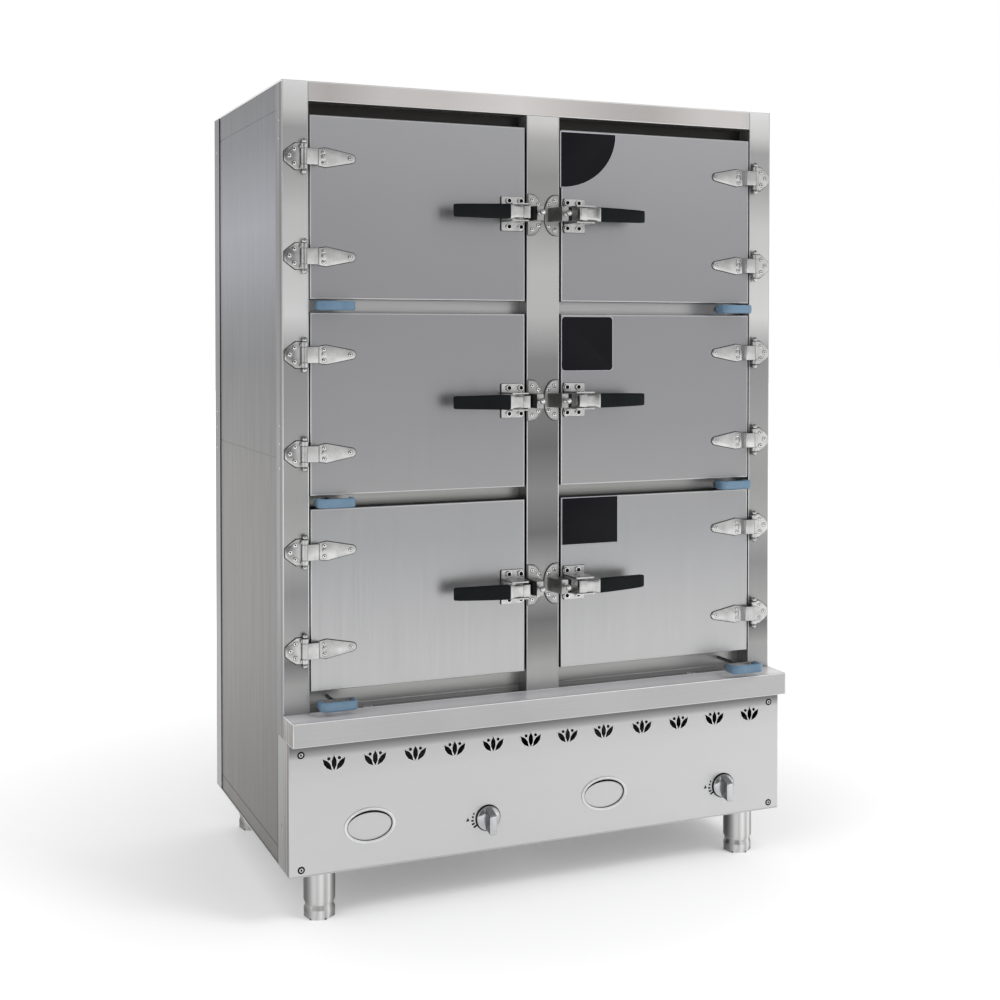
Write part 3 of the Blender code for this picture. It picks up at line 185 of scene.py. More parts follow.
# Mullion: painted dark reflection bands beside the lower latches, painted pale reflection towards the header
mullion_sheet = steel("brushed_stainless_mullion", [
    (330, "#a2a2a1"), (400, "#989897"), (450, "#7a7a79"), (500, "#686868"), (600, "#9c9c9b"),
    (700, "#686868"), (800, "#808080"), (900, "#696969"), (1000, "#7c7c7c"), (1100, "#828282"),
    (1200, "#b4b4b3"), (1300, "#b9b9b8"), (1400, "#a6a6a5"), (1450, "#9b9b9a"), (1520, "#959594"),
    (1600, "#b0afae"), (1640, "#d2d1d0"), (1657, "#d6d5d4")])
# Header: painted warm pale reflection patches side by side
header_sheet = steel("brushed_stainless_header", [
    (-603, "#cac7c5"), (-500, "#bab6b4"), (-380, "#cecac8"), (-230, "#ccc8c6"), (-60, "#dad6d4"),
    (60, "#cac6c4"), (180, "#bab6b4"), (280, "#b6b2b0"), (420, "#cecac8"), (520, "#d0ccca"),
    (603, "#bcb8b6")], axis="X", grain="X")
# Sides: painted reflection, dim and warm below, with a painted cool bright pool of light high up
side_sheet = steel("brushed_stainless_side", [
    (0, "#645f5b"), (110, "#5a5754"), (280, "#575451"), (500, "#524f4c"), (860, "#52504d"), (920, "#4e4d4c"),
    (1000, "#4f4f4f"), (1100, "#505154"), (1200, "#66676c"), (1300, "#81828b"), (1400, "#8f909a"),
    (1500, "#7d7e87"), (1600, "#62636a"), (1700, "#54555a")])
# Rear wrap and back: painted reflection, pale at the foot, dim at the top
side_trim_sheet = steel("brushed_stainless_rear_wrap", [
    (0, "#a9a8a7"), (300, "#8a8988"), (560, "#6c6a68"), (960, "#5e5c5c"), (1400, "#7b7b80"),
    (1700, "#646468")])
# Doors: an even middle grey, with a slightly paler painted reflection at the foot
door_sheet = steel("brushed_stainless_door", [
    (384, "#b2b2b2"), (560, "#a6a6a7"), (700, "#999a9b"), (780, "#989899"), (830, "#959596"),
    (950, "#919193"), (1180, "#909092"), (1300, "#949496"), (1430, "#99999b"), (1628, "#a4a4a6")],
    vary=0.03, cloud_mm=600)
# Base panel: the palest sheet, with a painted shadow of the tray along its top
panel_sheet = steel("brushed_stainless_panel", [
    (0, "#cccccc"), (100, "#c6c6c6"), (200, "#bfbfbf"), (252, "#b6b6b6"), (260, "#989898"), (272, "#727272"),
    (287, "#606060")], grain="X", vary=0.03, cloud_mm=600)
# Tray: a painted bright reflection on the shelf, a painted dull reflection in the channel behind it, and a
# painted highlight line at its back edge
tray_sheet = steel("brushed_stainless_tray", [
    (-84, "#b4b4b4"), (-80, "#bcbbbc"), (-76, "#f0eff1"), (-55, "#fbfafc"), (-25, "#f0eef2"), (-2, "#e2e0e4"),
    (1, "#8f8e8f"), (22, "#a8a7a8"), (47, "#8a898a"), (49, "#d0cfcf"), (60, "#b0b0af")],
    axis="Y", grain="X", vary=0.16, metallic=0.4)
# Face frame: grey rails in painted light and shade, paler at the foot, with painted shade fading to near
# black above the top doors
rail_sheet = steel("brushed_stainless_rail", [
    (331, "#d0d0ce"), (350, "#c6c6c4"), (384, "#a8a8a6"), (800, "#a0a09e"), (1220, "#bababa"),
    (1600, "#5a5856"), (1632, "#302f2e"), (1690, "#1e1d1d")], grain="X")
# Leg tubes: painted reflection stripes, bright and dark, down a round tube
painted_leg_stripes = [
    (-35, "#5c5c5c"), (-28, "#969695"), (-20, "#dededd"), (-13, "#c6c6c5"), (-4, "#f0f0ef"), (5, "#b4b4b3"),
    (13, "#f4f4f3"), (20, "#a2a2a1"), (27, "#8c8c8b"), (35, "#525252")]
base_sheet = steel("brushed_stainless_base", [(-75, "#b4b4b3"), (3, "#bdbdbc")])
leg_sheet = steel("brushed_stainless_leg", [
    (leg + place, color) for leg in (-leg_x, leg_x) for place, color in painted_leg_stripes], axis="X", vary=0.14)
# Side returns: painted reflection in fine upright stripes, dark and pale
return_sheet = steel("brushed_stainless_return", [
    (-84, "#8e8b89"), (-50, "#8a8785"), (-44, "#9a9795"), (-37, "#5c5957"), (-33, "#8f8c8a"),
    (-24, "#9e9b99"), (-16, "#625f5d"), (-12, "#94918f"), (-1, "#868381"), (2, "#8d8c8e"), (14, "#6c6b6c"),
    (18, "#525153"), (22, "#777678"), (40, "#626163"), (57, "#6e6d6f")], axis="Y")
# Inner sheet is dull; rolled folds and door edges are a paler steel, one painted highlight line
hidden_sheet = steel("dull_stainless_inner", [(0, "#8c8d8e"), (1700, "#9a9b9c")], roughness=0.42)
fold_highlight_steel = steel("rolled_fold_highlight", [(0, "#dcdcdb"), (1000, "#d6d6d5"), (1700, "#e8e8e7")], roughness=0.38)
edge_highlight_steel = steel("door_edge", [(384, "#c2c2c2"), (1628, "#b8b8b9")], roughness=0.4)
# Castings: slightly lumpy, with soft highlights; keepers take a darker copy, fasteners and bars plain
casting = grained("polished_cast_stainless", "#c8c8c7", "#a9a9a8", 0.3, 1.0, 2.2, 26, 0.25)
keeper_casting = grained("darker_cast_stainless", "#b4b4b3", "#949493", 0.34, 1.0, 2.2, 26, 0.25)
bright = grained("bright_stainless_fastener", "#dadad9", "#c4c4c3", 0.24, 1.0, 1.2, 20, 0.1)
bar_steel = grained("plain_stainless_bar", "#a3a3a2", "#8a8a89", 0.36, 1.0, 1.2, 20, 0.12)
# Chromed taps: smooth and cool, their flanks a darker copy for painted shade; pressed rims are pale for a
# painted highlight
chrome = grained("chromed_zinc", "#c4c5c7", "#b2b3b5", 0.16, 1.0, 6.0, 40, 0.02)
chrome_shaded_flank = grained("chromed_zinc_shaded_flank", "#7c7d7f", "#6a6b6d", 0.2, 1.0, 6.0, 40, 0.02)
rim_highlight = grained("pressed_rim_highlight", "#f0f0f0", "#e2e2e2", 0.35, 0.4, 2.0, 40, 0.05)
# Burners and gas pipe, seen only through openings
iron = grained("grey_cast_iron", "#3b3937", "#2a2928", 0.7, 0.4, 1.5, 30, 0.6)
brass = grained("raw_brass", "#b58f4c", "#a17c3c", 0.38, 1.0, 2.0, 30, 0.2)
# Grips: matt near black. Sleeves: grey blue with a low gloss. Soles and buffers: dull rubber
grip_black = grained("black_dipped_grip", "#15191a", "#0d1011", 0.6, 0.0, 1.2, 45, 0.12, shine=0.12)
sleeve_blue = grained("blue_pvc_sleeve", "#6f8ca3", "#5c7890", 0.3, 0.0, 1.6, 45, 0.08)
rubber = grained("black_rubber", "#1c1c1c", "#121212", 0.72, 0.0, 1.2, 30, 0.12, shine=0.2)
# Sockets, gaskets, seams and contact shadows: dark gaps and thin lines. The sockets and holes hold painted
# shade, the gaskets' strips along the door sides are painted shadow, and the contact shadows round the
# castings are painted
shade_black = grained("painted_shade_black", "#161617", "#0d0d0d", 0.7, 0.0, 1.2, 20, 0.1, shine=0.2)
gasket_and_shadow_black = grained("black_silicone_gasket_and_side_shadow", "#262728", "#1d1e1f", 0.55, 0.0, 1.2, 30, 0.1)
seam_dark = grained("shadowed_seam", "#5c5b5a", "#4c4b4a", 0.6, 0.0, 2.0, 60, 0.05)
contact_shadow_dark = grained("dark_contact_shadow", "#3c3b3b", "#2e2d2d", 0.65, 0.0, 2.0, 40, 0.05, shine=0.25)
# Bare door plates and the taps' marks: flat dark ink, with a pale border
plate_ink = grained("dark_enamelled_plate", "#131216", "#0e0d10", 0.5, 0.0, 30.0, 90, 0.0, shine=0.12)
plate_rim = grained("pale_plate_border", "#b4b5bb", "#a9aab0", 0.45, 0.0, 2.0, 45, 0.05)
mark_ink = grained("dark_printed_mark", "#1c1c1e", "#131315", 0.55, 0.0, 1.0, 20, 0.05, shine=0.2)

wearing = {
    "door_": door_sheet, "latch_bracket": casting, "latch_keeper": keeper_casting, "latch_lever": casting,
    "steam_valve_pull": bright, "gas_knob": chrome, "burner": iron, "gas_manifold": brass,
    "steam_chamber": hidden_sheet, "boiler": hidden_sheet, "chamber_face_frame": rail_sheet,
    "left_side_panel": side_sheet, "right_side_panel": side_sheet, "lower_front_panel": panel_sheet,
    "window_flap": panel_sheet, "drip_tray": tray_sheet, "left_corner_post": post_sheet,
    "right_corner_post": post_sheet, "centre_mullion": mullion_sheet, "top_cover": header_sheet,
    "back_panel": side_trim_sheet, "base_frame": base_sheet, "foot_": leg_sheet,
}
for name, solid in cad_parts.items():
    finish = next(made for start, made in wearing.items() if name.startswith(start))
    solid.data.materials.clear()
    solid.data.materials.append(finish)


# Pieces: meshes drawn in place, in metres
def put_in(name, data):
    """A new object in the scene."""
    made = bpy.data.objects.new(name, data)
    bpy.context.scene.collection.objects.link(made)
    return made


def finish_mesh(name, shape, crease=35):
    """Turns a drawing into a smooth mesh; edges sharper than the crease stay crisp."""
    bmesh.ops.remove_doubles(shape, verts=shape.verts, dist=1e-6)
    bmesh.ops.recalc_face_normals(shape, faces=shape.faces)
    mesh = bpy.data.meshes.new(name)
    shape.to_mesh(mesh)
    shape.free()
    mesh.shade_smooth()
    mesh.set_sharp_from_angle(angle=math.radians(crease))
    return put_in(name, mesh)


def piece(name, shape, finish, body="cabinet", crease=35):
    """A drawn piece in its finish, which moves with a body."""
    made = finish_mesh(name, shape, crease)
    made.data.materials.append(finish)
    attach(made, body)
    return made


def skin(shape, loops):
    """Quads between neighbouring closed loops of vertices."""
    for one, other in zip(loops, loops[1:]):
        for i in range(len(one)):
            j = (i + 1) % len(one)
            shape.faces.new((one[i], one[j], other[j], other[i]))


def loft(shape, rings):
    """Skins a run of closed rings and caps both ends."""
    placed = [[shape.verts.new(point) for point in ring] for ring in rings]
    skin(shape, placed)
    shape.faces.new(placed[0][::-1])
    shape.faces.new(placed[-1])
    return placed


def circle(count):
    """Evenly spaced (cosine, sine) pairs."""
    return [(math.cos(2 * math.pi * i / count), math.sin(2 * math.pi * i / count)) for i in range(count)]


def soft_ring(half_a, half_b, squareness, count):
    """A rounded rectangle as a superellipse, as (a, b) pairs."""
    return [(half_a * math.copysign(abs(c) ** (2 / squareness), c),
             half_b * math.copysign(abs(s) ** (2 / squareness), s)) for c, s in circle(count)]


def ellipse(cx, cy, half_a, half_b, degrees):
    """Points of an ellipse at some angles, as (a, b) pairs."""
    return [(cx + half_a * math.cos(a), cy + half_b * math.sin(a)) for a in map(math.radians, degrees)]


def arc(cx, cy, radius, start, sweep_degrees, steps):
    return ellipse(cx, cy, radius, radius, [start + sweep_degrees * i / steps for i in range(steps + 1)])


def rounded(x_low, x_high, z_low, z_high, radius, steps):
    """A rectangle about its corners' centres."""
    corners = ((x_high, z_high, 0), (x_low, z_high, 90), (x_low, z_low, 180), (x_high, z_low, 270))
    return [point for cx, cz, start in corners for point in arc(cx, cz, radius, start, 90, steps)]


def sweep(shape, path, sections):
    """Sections of (across, up) pairs along a level path of (x, y, z), all in millimetres."""
    rings = []
    for i, ((x, y, z), pairs) in enumerate(zip(path, sections)):
        before, after = path[max(i - 1, 0)], path[min(i + 1, len(path) - 1)]
        ahead = Vector((after[0] - before[0], after[1] - before[1])).normalized()
        rings.append([at(x - ahead.y * a, y + ahead.x * a, z + b) for a, b in pairs])
    loft(shape, rings)


def rings_of(profile, sides):
    """Rings about the origin, from (radius, height) pairs in millimetres."""
    return [[Vector((r * c, r * s, z)) * MM for c, s in circle(sides)] for r, z in profile]


def revolve(shape, profile, centre, axis, sides):
    """Turns (radius, along) pairs about an axis through a place."""
    turn = Vector(UP).rotation_difference(Vector(axis)).to_matrix()
    loft(shape, [[centre + turn @ point for point in ring] for ring in rings_of(profile, sides)])


def soften(shape, edges, round_mm):
    if round_mm:
        bmesh.ops.bevel(shape, geom=list(edges), offset=round_mm * MM, segments=2, profile=0.5,
                        affect="EDGES")


def slab(shape, low, high, round_mm=0.0):
    """A flat bar between two corners, with softened edges."""
    made = bmesh.ops.create_cube(shape, size=1.0)
    bmesh.ops.scale(shape, vec=high - low, verts=made["verts"])
    bmesh.ops.translate(shape, vec=(low + high) / 2, verts=made["verts"])
    soften(shape, {e for v in made["verts"] for e in v.link_edges}, round_mm)


def upright(x, z, y):
    """A place on an outline that stands upright, as the doors do."""
    return at(x, y, z)


def about_item(x, z, y):
    """The same on an item that is drawn about the origin."""
    return Vector((x, y, z)) * MM


def prism(shape, outline, place, low, high, round_mm=0.0):
    """A closed outline of (a, b) millimetres between two places along the third direction."""
    start = [shape.verts.new(place(a, b, low)) for a, b in outline]
    end = [shape.verts.new(place(a, b, high)) for a, b in outline]
    faces = [shape.faces.new(start), shape.faces.new(end[::-1])]
    for i in range(len(outline)):
        j = (i + 1) % len(outline)
        faces.append(shape.faces.new((start[j], start[i], end[i], end[j])))
    soften(shape, {e for f in faces for e in f.edges}, round_mm)


def picture_frame(shape, x_low, x_high, z_low, z_high, section):
    """A mitred frame: its section is a closed run of (inset, y) pairs in millimetres."""
    loops = []
    for inset, y in section:
        corners = ((x_low + inset, z_low + inset), (x_high - inset, z_low + inset),
                   (x_high - inset, z_high - inset), (x_low + inset, z_high - inset))
        loops.append([shape.verts.new(at(x, y, z)) for x, z in corners])
    skin(shape, loops + loops[:1])


# What repeats is set out by Geometry Nodes, on points that carry their own turn and size
def tree_with(name, sockets):
    tree = bpy.data.node_groups.new(name, "GeometryNodeTree")
    for label, kind in sockets:
        tree.interface.new_socket(label, in_out="INPUT", socket_type="NodeSocket" + kind)
    tree.interface.new_socket("Geometry", in_out="OUTPUT", socket_type="NodeSocketGeometry")
    return tree, add(tree, "NodeGroupInput").outputs


def setting_out_tree():
    """Copies an item to points, and gives its inner faces a finish of their own."""
    tree, given = tree_with("set_out_on_points", (
        ("Points", "Geometry"), ("Item", "Object"), ("Outer finish", "Material"),
        ("Inner finish", "Material")))
    turn, grow, inner = (
        add(tree, "GeometryNodeInputNamedAttribute", {"Name": name}, data_type=kind).outputs["Attribute"]
        for name, kind in (("turn", "FLOAT_VECTOR"), ("grow", "FLOAT_VECTOR"), ("inner", "FLOAT")))
    item = add(tree, "GeometryNodeObjectInfo", {"Object": given["Item"]}).outputs["Geometry"]
    rotation = add(tree, "FunctionNodeEulerToRotation", {"Euler": turn}).outputs["Rotation"]
    placed = add(tree, "GeometryNodeInstanceOnPoints", {
        "Points": given["Points"], "Instance": item, "Rotation": rotation,
        "Scale": grow}).outputs["Instances"]
    real = add(tree, "GeometryNodeRealizeInstances", {"Geometry": placed}).outputs["Geometry"]
    outer = add(tree, "GeometryNodeSetMaterial", {
        "Geometry": real, "Material": given["Outer finish"]}).outputs["Geometry"]
    both = add(tree, "GeometryNodeSetMaterial", {
        "Geometry": outer, "Selection": inner, "Material": given["Inner finish"]}).outputs["Geometry"]
    add(tree, "NodeGroupOutput", {"Geometry": both})
    return tree


def bead_tree():
    """Copies outlines in a row and runs a round bead along each."""
    tree, given = tree_with("beads_on_outlines", (
        ("Outlines", "Geometry"), ("Count", "Int"), ("Pitch", "Float"), ("Bead radius", "Float"),
        ("Finish", "Material")))
    pitch = add(tree, "ShaderNodeCombineXYZ", {"X": given["Pitch"]}).outputs["Vector"]
    line = add(tree, "GeometryNodeMeshLine", {"Count": given["Count"], "Offset": pitch}).outputs["Mesh"]
    placed = add(tree, "GeometryNodeInstanceOnPoints", {
        "Points": line, "Instance": given["Outlines"]}).outputs["Instances"]
    real = add(tree, "GeometryNodeRealizeInstances", {"Geometry": placed}).outputs["Geometry"]
    wire = add(tree, "GeometryNodeMeshToCurve", {"Mesh": real}).outputs["Curve"]
    section = add(tree, "GeometryNodeCurvePrimitiveCircle", {
        "Resolution": 8, "Radius": given["Bead radius"]}).outputs["Curve"]
    bead = add(tree, "GeometryNodeCurveToMesh", {"Curve": wire, "Profile Curve": section}).outputs["Mesh"]
    worn = add(tree, "GeometryNodeSetMaterial", {
        "Geometry": bead, "Material": given["Finish"]}).outputs["Geometry"]
    add(tree, "NodeGroupOutput", {"Geometry": worn})
    return tree


set_out = setting_out_tree()
bead_along = bead_tree()
helpers = []


def item_object(name, shape, inner_faces=()):
    """The thing that is repeated, drawn about the origin."""
    shape.faces.index_update()
    numbers = {face.index for face in inner_faces}
    layer = shape.faces.layers.float.new("inner")
    for face in shape.faces:
        face[layer] = float(face.index in numbers)
    made = finish_mesh(name, shape)
    helpers.append(made)
    return made


def run_tree(name, base, tree, values, body):
    """Runs a tree on a mesh of points or outlines and leaves a plain mesh that rides on a body."""
    carrier = put_in(name + "_points", base)
    modifier = carrier.modifiers.new("tree", "NODES")
    modifier.node_group = tree
    named = {socket.name: socket.identifier for socket in tree.interface.items_tree
             if socket.in_out == "INPUT"}
    for key, value in values.items():
        modifier[named[key]] = value
    carrier.update_tag()
    bpy.context.view_layer.update()
    graph = bpy.context.evaluated_depsgraph_get()
    mesh = bpy.data.meshes.new_from_object(carrier.evaluated_get(graph), depsgraph=graph)
    bpy.data.objects.remove(carrier, do_unlink=True)
    made = put_in(name, mesh)
    for layer in [a.name for a in mesh.attributes if a.name in ("turn", "grow", "inner")]:
        mesh.attributes.remove(mesh.attributes[layer])
    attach(made, body)
    return made


def spread(name, item, spots, body, outer, inner=None):
    """Sets out an item on spots of (place, facing, size)."""
    mesh = bpy.data.meshes.new(name + "_points")
    mesh.from_pydata([tuple(place) for place, _, _ in spots], [], [])
    turns = mesh.attributes.new("turn", "FLOAT_VECTOR", "POINT")
    sizes = mesh.attributes.new("grow", "FLOAT_VECTOR", "POINT")
    for turn, grown, (_, facing, size) in zip(turns.data, sizes.data, spots):
        turn.vector = Vector(UP).rotation_difference(Vector(facing)).to_euler()
        grown.vector = (size, size, size)
    values = {"Item": item, "Outer finish": outer, "Inner finish": inner or outer}
    return run_tree(name, mesh, set_out, values, body)


def beads(name, loops, finish, radius, count=1, pitch=0.0):
    """Beads along closed loops of places, on the cabinet."""
    verts, edges = [], []
    for loop in loops:
        first = len(verts)
        verts += [tuple(place) for place in loop]
        edges += [(first + i, first + (i + 1) % len(loop)) for i in range(len(loop))]
    mesh = bpy.data.meshes.new(name + "_outline")
    mesh.from_pydata(verts, edges, [])
    values = {"Count": count, "Pitch": pitch * MM, "Bead radius": radius * MM, "Finish": finish}
    return run_tree(name, mesh, bead_along, values, "cabinet")


def turned_item(name, profile, sides=20, dark=()):
    """An item turned from (radius, height) pairs. The bands named in dark take the inner finish, and so does
    the cap after the last band."""
    shape = bmesh.new()
    placed = loft(shape, rings_of(profile, sides))
    inner = []
    for band in dark:
        upper = set(placed[band])
        inner += [f for v in placed[band + 1] for f in v.link_faces if sum(w in upper for w in f.verts) >= 2]
    if len(placed) - 2 in dark:
        inner += [f for f in shape.faces if set(f.verts) == set(placed[-1])]
    return item_object(name, shape, inner)


# Fasteners: countersunk heads with a painted shadow ring for hinges and sheets, tall socket heads for the
# latches; every socket floor is painted shade
countersunk = turned_item("countersunk_screw", [
    (6.3, 0.0), (6.3, 0.4), (5.8, 0.5), (5.5, 0.1), (4.9, 0.1), (4.7, 0.9), (1.9, 1.3), (1.6, 0.6),
    (0.9, 0.5)], 20, dark=(2, 3, 6, 7))
corner_screw = turned_item("corner_screw", [
    (6.4, 0.0), (6.4, 0.25), (5.9, 0.35), (5.6, 0.1), (3.7, 0.1), (3.5, 0.7), (2.0, 1.0), (1.8, 0.4),
    (1.0, 0.3)], 24, dark=(1, 2, 3, 6, 7))
socket_head = turned_item("socket_head_screw", [
    (6.6, -0.2), (6.6, 0.15), (5.7, 0.2), (5.6, 3.4), (5.1, 4.1), (3.5, 4.2), (3.2, 1.6), (2.6, 1.5)],
    18, dark=(0, 5, 6))


def facing_front(x, y, z, size):
    return at(x, y, z), FRONT, size


for side, sign, row, middle in DOORS:
    strap_spots = [facing_front(sign * (axis_x - dx), -3.5, middle + rise + dz, 0.86)
                   for rise in HINGE_RISES for dx, dz in ((44, 11.6), (44, -11.6), (102, 0))]
    bracket_spots = [facing_front(sign * (pivot_x - dx), -4.3, middle + dz, 1.3)
                     for dz in (29.4, -29.4) for dx in (-7.3, 21.5)]
    for label, item, spots in (("strap", countersunk, strap_spots), ("bracket", socket_head, bracket_spots)):
        spread(f"{label}_screws_{side}_{row}", item, spots, f"door_{side}_{row}", bright, shade_black)

leaf_spots, keeper_spots = [], []
for side, sign, row, middle in DOORS:
    leaf_spots += [facing_front(sign * (axis_x + dx), -3.5, middle + rise + dz, 0.96)
                   for rise in HINGE_RISES for dx, dz in ((20, 16), (31, 1), (20, -15))]
    keeper_spots += [facing_front(sign * (keeper_edge - dx), -3.3, middle + dz, 0.9)
                     for dx, dz in ((11, 33.5), (26, 24.5), (11, -33.5), (26, -24.5))]
spread("hinge_leaf_screws", countersunk, leaf_spots, "cabinet", bright, shade_black)
spread("keeper_screws", countersunk, keeper_spots, "cabinet", bright, shade_black)

corner_spots = [facing_front(x, panel_face, z, 1.25) for x in (-577, 577) for z in (15.7, 262)]
spread("panel_corner_screws", corner_screw, corner_spots, "cabinet", bright, shade_black)
side_spots = [(at(sign * x, y, z), (sign, 0, 0), 0.6)
              for sign in (-1, 1) for z in (1616, 1577, 961, 922, 869, 95)
              for x, y in ((half_body + 0.4, 25), (half_body, 701))]
spread("side_sheet_screws", countersunk, side_spots, "cabinet", bright, shade_black)


# Hinges: strap and leaf castings with rolled edges, turned barrels and ball ends
def strap_casting(sign):
    """One strap about its hinge axis: raised off the door at the barrel, then joggled down and tapered."""
    plan = [
        (4.0, 17.4, -7.9, -4.2), (25.5, 17.4, -7.9, -4.2), (27.6, 17.4, -7.3, -3.6), (32.6, 18.2, 4.9, 8.0),
        (34.6, 18.6, 6.0, 9.4), (49, 20.9, 6.0, 9.4), (107.9, 9.1, 6.0, 9.4), (110.6, 7.6, 6.1, 9.4),
        (112.8, 5.3, 6.3, 9.4), (114.3, 2.6, 6.7, 9.4), (114.7, 0.9, 7.4, 9.4)]
    shape = bmesh.new()
    rings = []
    for x, half, front, back in plan:
        r = min(1.1, half * 0.6, (back - front) * 0.7)
        ring = [
            (back, -half), (front + r, -half), (front + 0.3 * r, -half + 0.3 * r), (front, -half + r),
            (front, half - r), (front + 0.3 * r, half - 0.3 * r), (front + r, half), (back, half)]
        rings.append([Vector((-sign * x, y, z)) * MM for y, z in ring])
    loft(shape, rings)
    boss = [[Vector((-sign * (44 + a * r), 6.2 - lift, b * r)) * MM for a, b in soft_ring(6.5, 8.0, 2.2, 16)]
            for r, lift in ((1.0, 0.0), (0.85, 0.7), (0.45, 1.25))]
    loft(shape, boss)
    return item_object(f"strap_casting_{sign}", shape)


def leaf_casting(sign):
    """The fixed leaf about the hinge axis, with a pad under each barrel."""
    upper = [(-8.6, 17.3), (4.0, 17.3), (4.0, 27.2), (-6.0, 28.2), (-18.2, 28.4), (-33.5, 17.0), (-41.9, 9.7)]
    outline = [(-sign * x, z) for x, z in upper + [(x, -z) for x, z in reversed(upper)]]
    shape = bmesh.new()
    prism(shape, outline, about_item, 6.0, 9.4, 1.0)
    for up in (-1, 1):
        pad = [(-sign * a, up * b) for a, b in ((-9.5, 18.0), (3.4, 18.0), (3.4, 26.6), (-9.5, 26.6))]
        prism(shape, pad, about_item, 0.5, 6.6, 1.2)
    return item_object(f"leaf_casting_{sign}", shape)


def contact_shadow(name, sign, half_outline):
    """A painted contact shadow: a thin dark line round a casting where it meets the sheet, as in the
    photograph.
    """
    outline = [(-sign * x, z) for x, z in half_outline + [(x, -z) for x, z in reversed(half_outline)]]
    shape = bmesh.new()
    prism(shape, outline, about_item, 9.1, 9.42)
    return item_object(f"{name}_{sign}", shape)


# Outlines of the painted contact shadows, a little outside each casting
STRAP_EDGE = [(33.4, 19.6), (49.0, 22.2), (108.4, 10.3), (112.0, 8.4), (114.6, 5.2), (115.9, 1.2)]
LEAF_EDGE = [(4.0, 28.6), (-6.2, 29.6), (-18.8, 29.8), (-34.6, 18.0), (-43.2, 10.4)]
strap_barrel = turned_item("strap_barrel", [(6.9, -16.6), (7.75, -15.8), (7.75, 15.8), (6.9, 16.6)], 28)
fixed_barrel = turned_item("fixed_barrel", [(6.9, -5.2), (7.75, -4.4), (7.75, 4.4), (6.9, 5.2)], 28)
ball_end = turned_item("ball_end", [
    (1.0, -6.1), (3.6, -5.0), (5.4, -3.0), (6.2, 0.0), (5.4, 3.0), (3.6, 5.0), (1.0, 6.1)], 20)

all_fixed, all_balls = [], []
for side, sign in SIDES:
    straps, leaves, leaf_places = strap_casting(sign), leaf_casting(sign), []
    strap_line = contact_shadow("strap_line", sign, STRAP_EDGE)
    leaf_line = contact_shadow("leaf_line", sign, LEAF_EDGE)
    for row in ROWS:
        spots = [(at(sign * axis_x, axis_y, row_middle(row) + rise), UP, 1.0) for rise in HINGE_RISES]
        body = f"door_{side}_{row}"
        spread(f"strap_castings_{side}_{row}", straps, spots, body, casting)
        spread(f"strap_barrels_{side}_{row}", strap_barrel, spots, body, casting)
        spread(f"strap_fit_lines_{side}_{row}", strap_line, spots, body, contact_shadow_dark)
        leaf_places += spots
        for place, *_ in spots:
            for gathered, rise in ((all_fixed, 22.35), (all_balls, 32.4)):
                gathered.extend((place + Vector((0, 0, up * rise * MM)), UP, 1.0) for up in (-1, 1))
    spread(f"leaf_castings_{side}", leaves, leaf_places, "cabinet", casting)
    spread(f"leaf_fit_lines_{side}", leaf_line, leaf_places, "cabinet", contact_shadow_dark)
spread("fixed_barrels", fixed_barrel, all_fixed, "cabinet", casting)
spread("hinge_ball_ends", ball_end, all_balls, "cabinet", casting)


# Doors: a rolled edge round each face, pale for a painted highlight, and a black gasket behind, whose strip
# along the door's sides is painted shadow
edge_section = [
    (3.0, 0.1), (2.6, -0.28), (1.2, -0.3), (0.3, 0.1), (-0.12, 0.9), (-0.15, 3.0), (0.4, 3.2), (1.0, 1.2)]
seal_section = [
    (7.7, 40.2), (7.7, 46.5), (11.0, 49.6), (14.5, 49.85), (20.5, 49.85), (24.3, 46.0), (24.3, 40.2)]
side_shadow_section = [(0.1, 3.6), (-0.2, 4.0), (-0.2, 39.0), (0.1, 39.4)]
for side, sign, row, middle in DOORS:
    for label, finish, slot, sections in (
            ("door_edge", edge_highlight_steel, "door_steel", [edge_section]),
            ("door_gasket", gasket_and_shadow_black, "black_grip", [seal_section, side_shadow_section])):
        shape = bmesh.new()
        for section in sections:
            picture_frame(shape, *sorted((sign * door_near, sign * door_far)), middle - door_half_high,
                          middle + door_half_high, section)
        piece(f"{label}_{side}_{row}", shape, finish, f"door_{side}_{row}", 50)


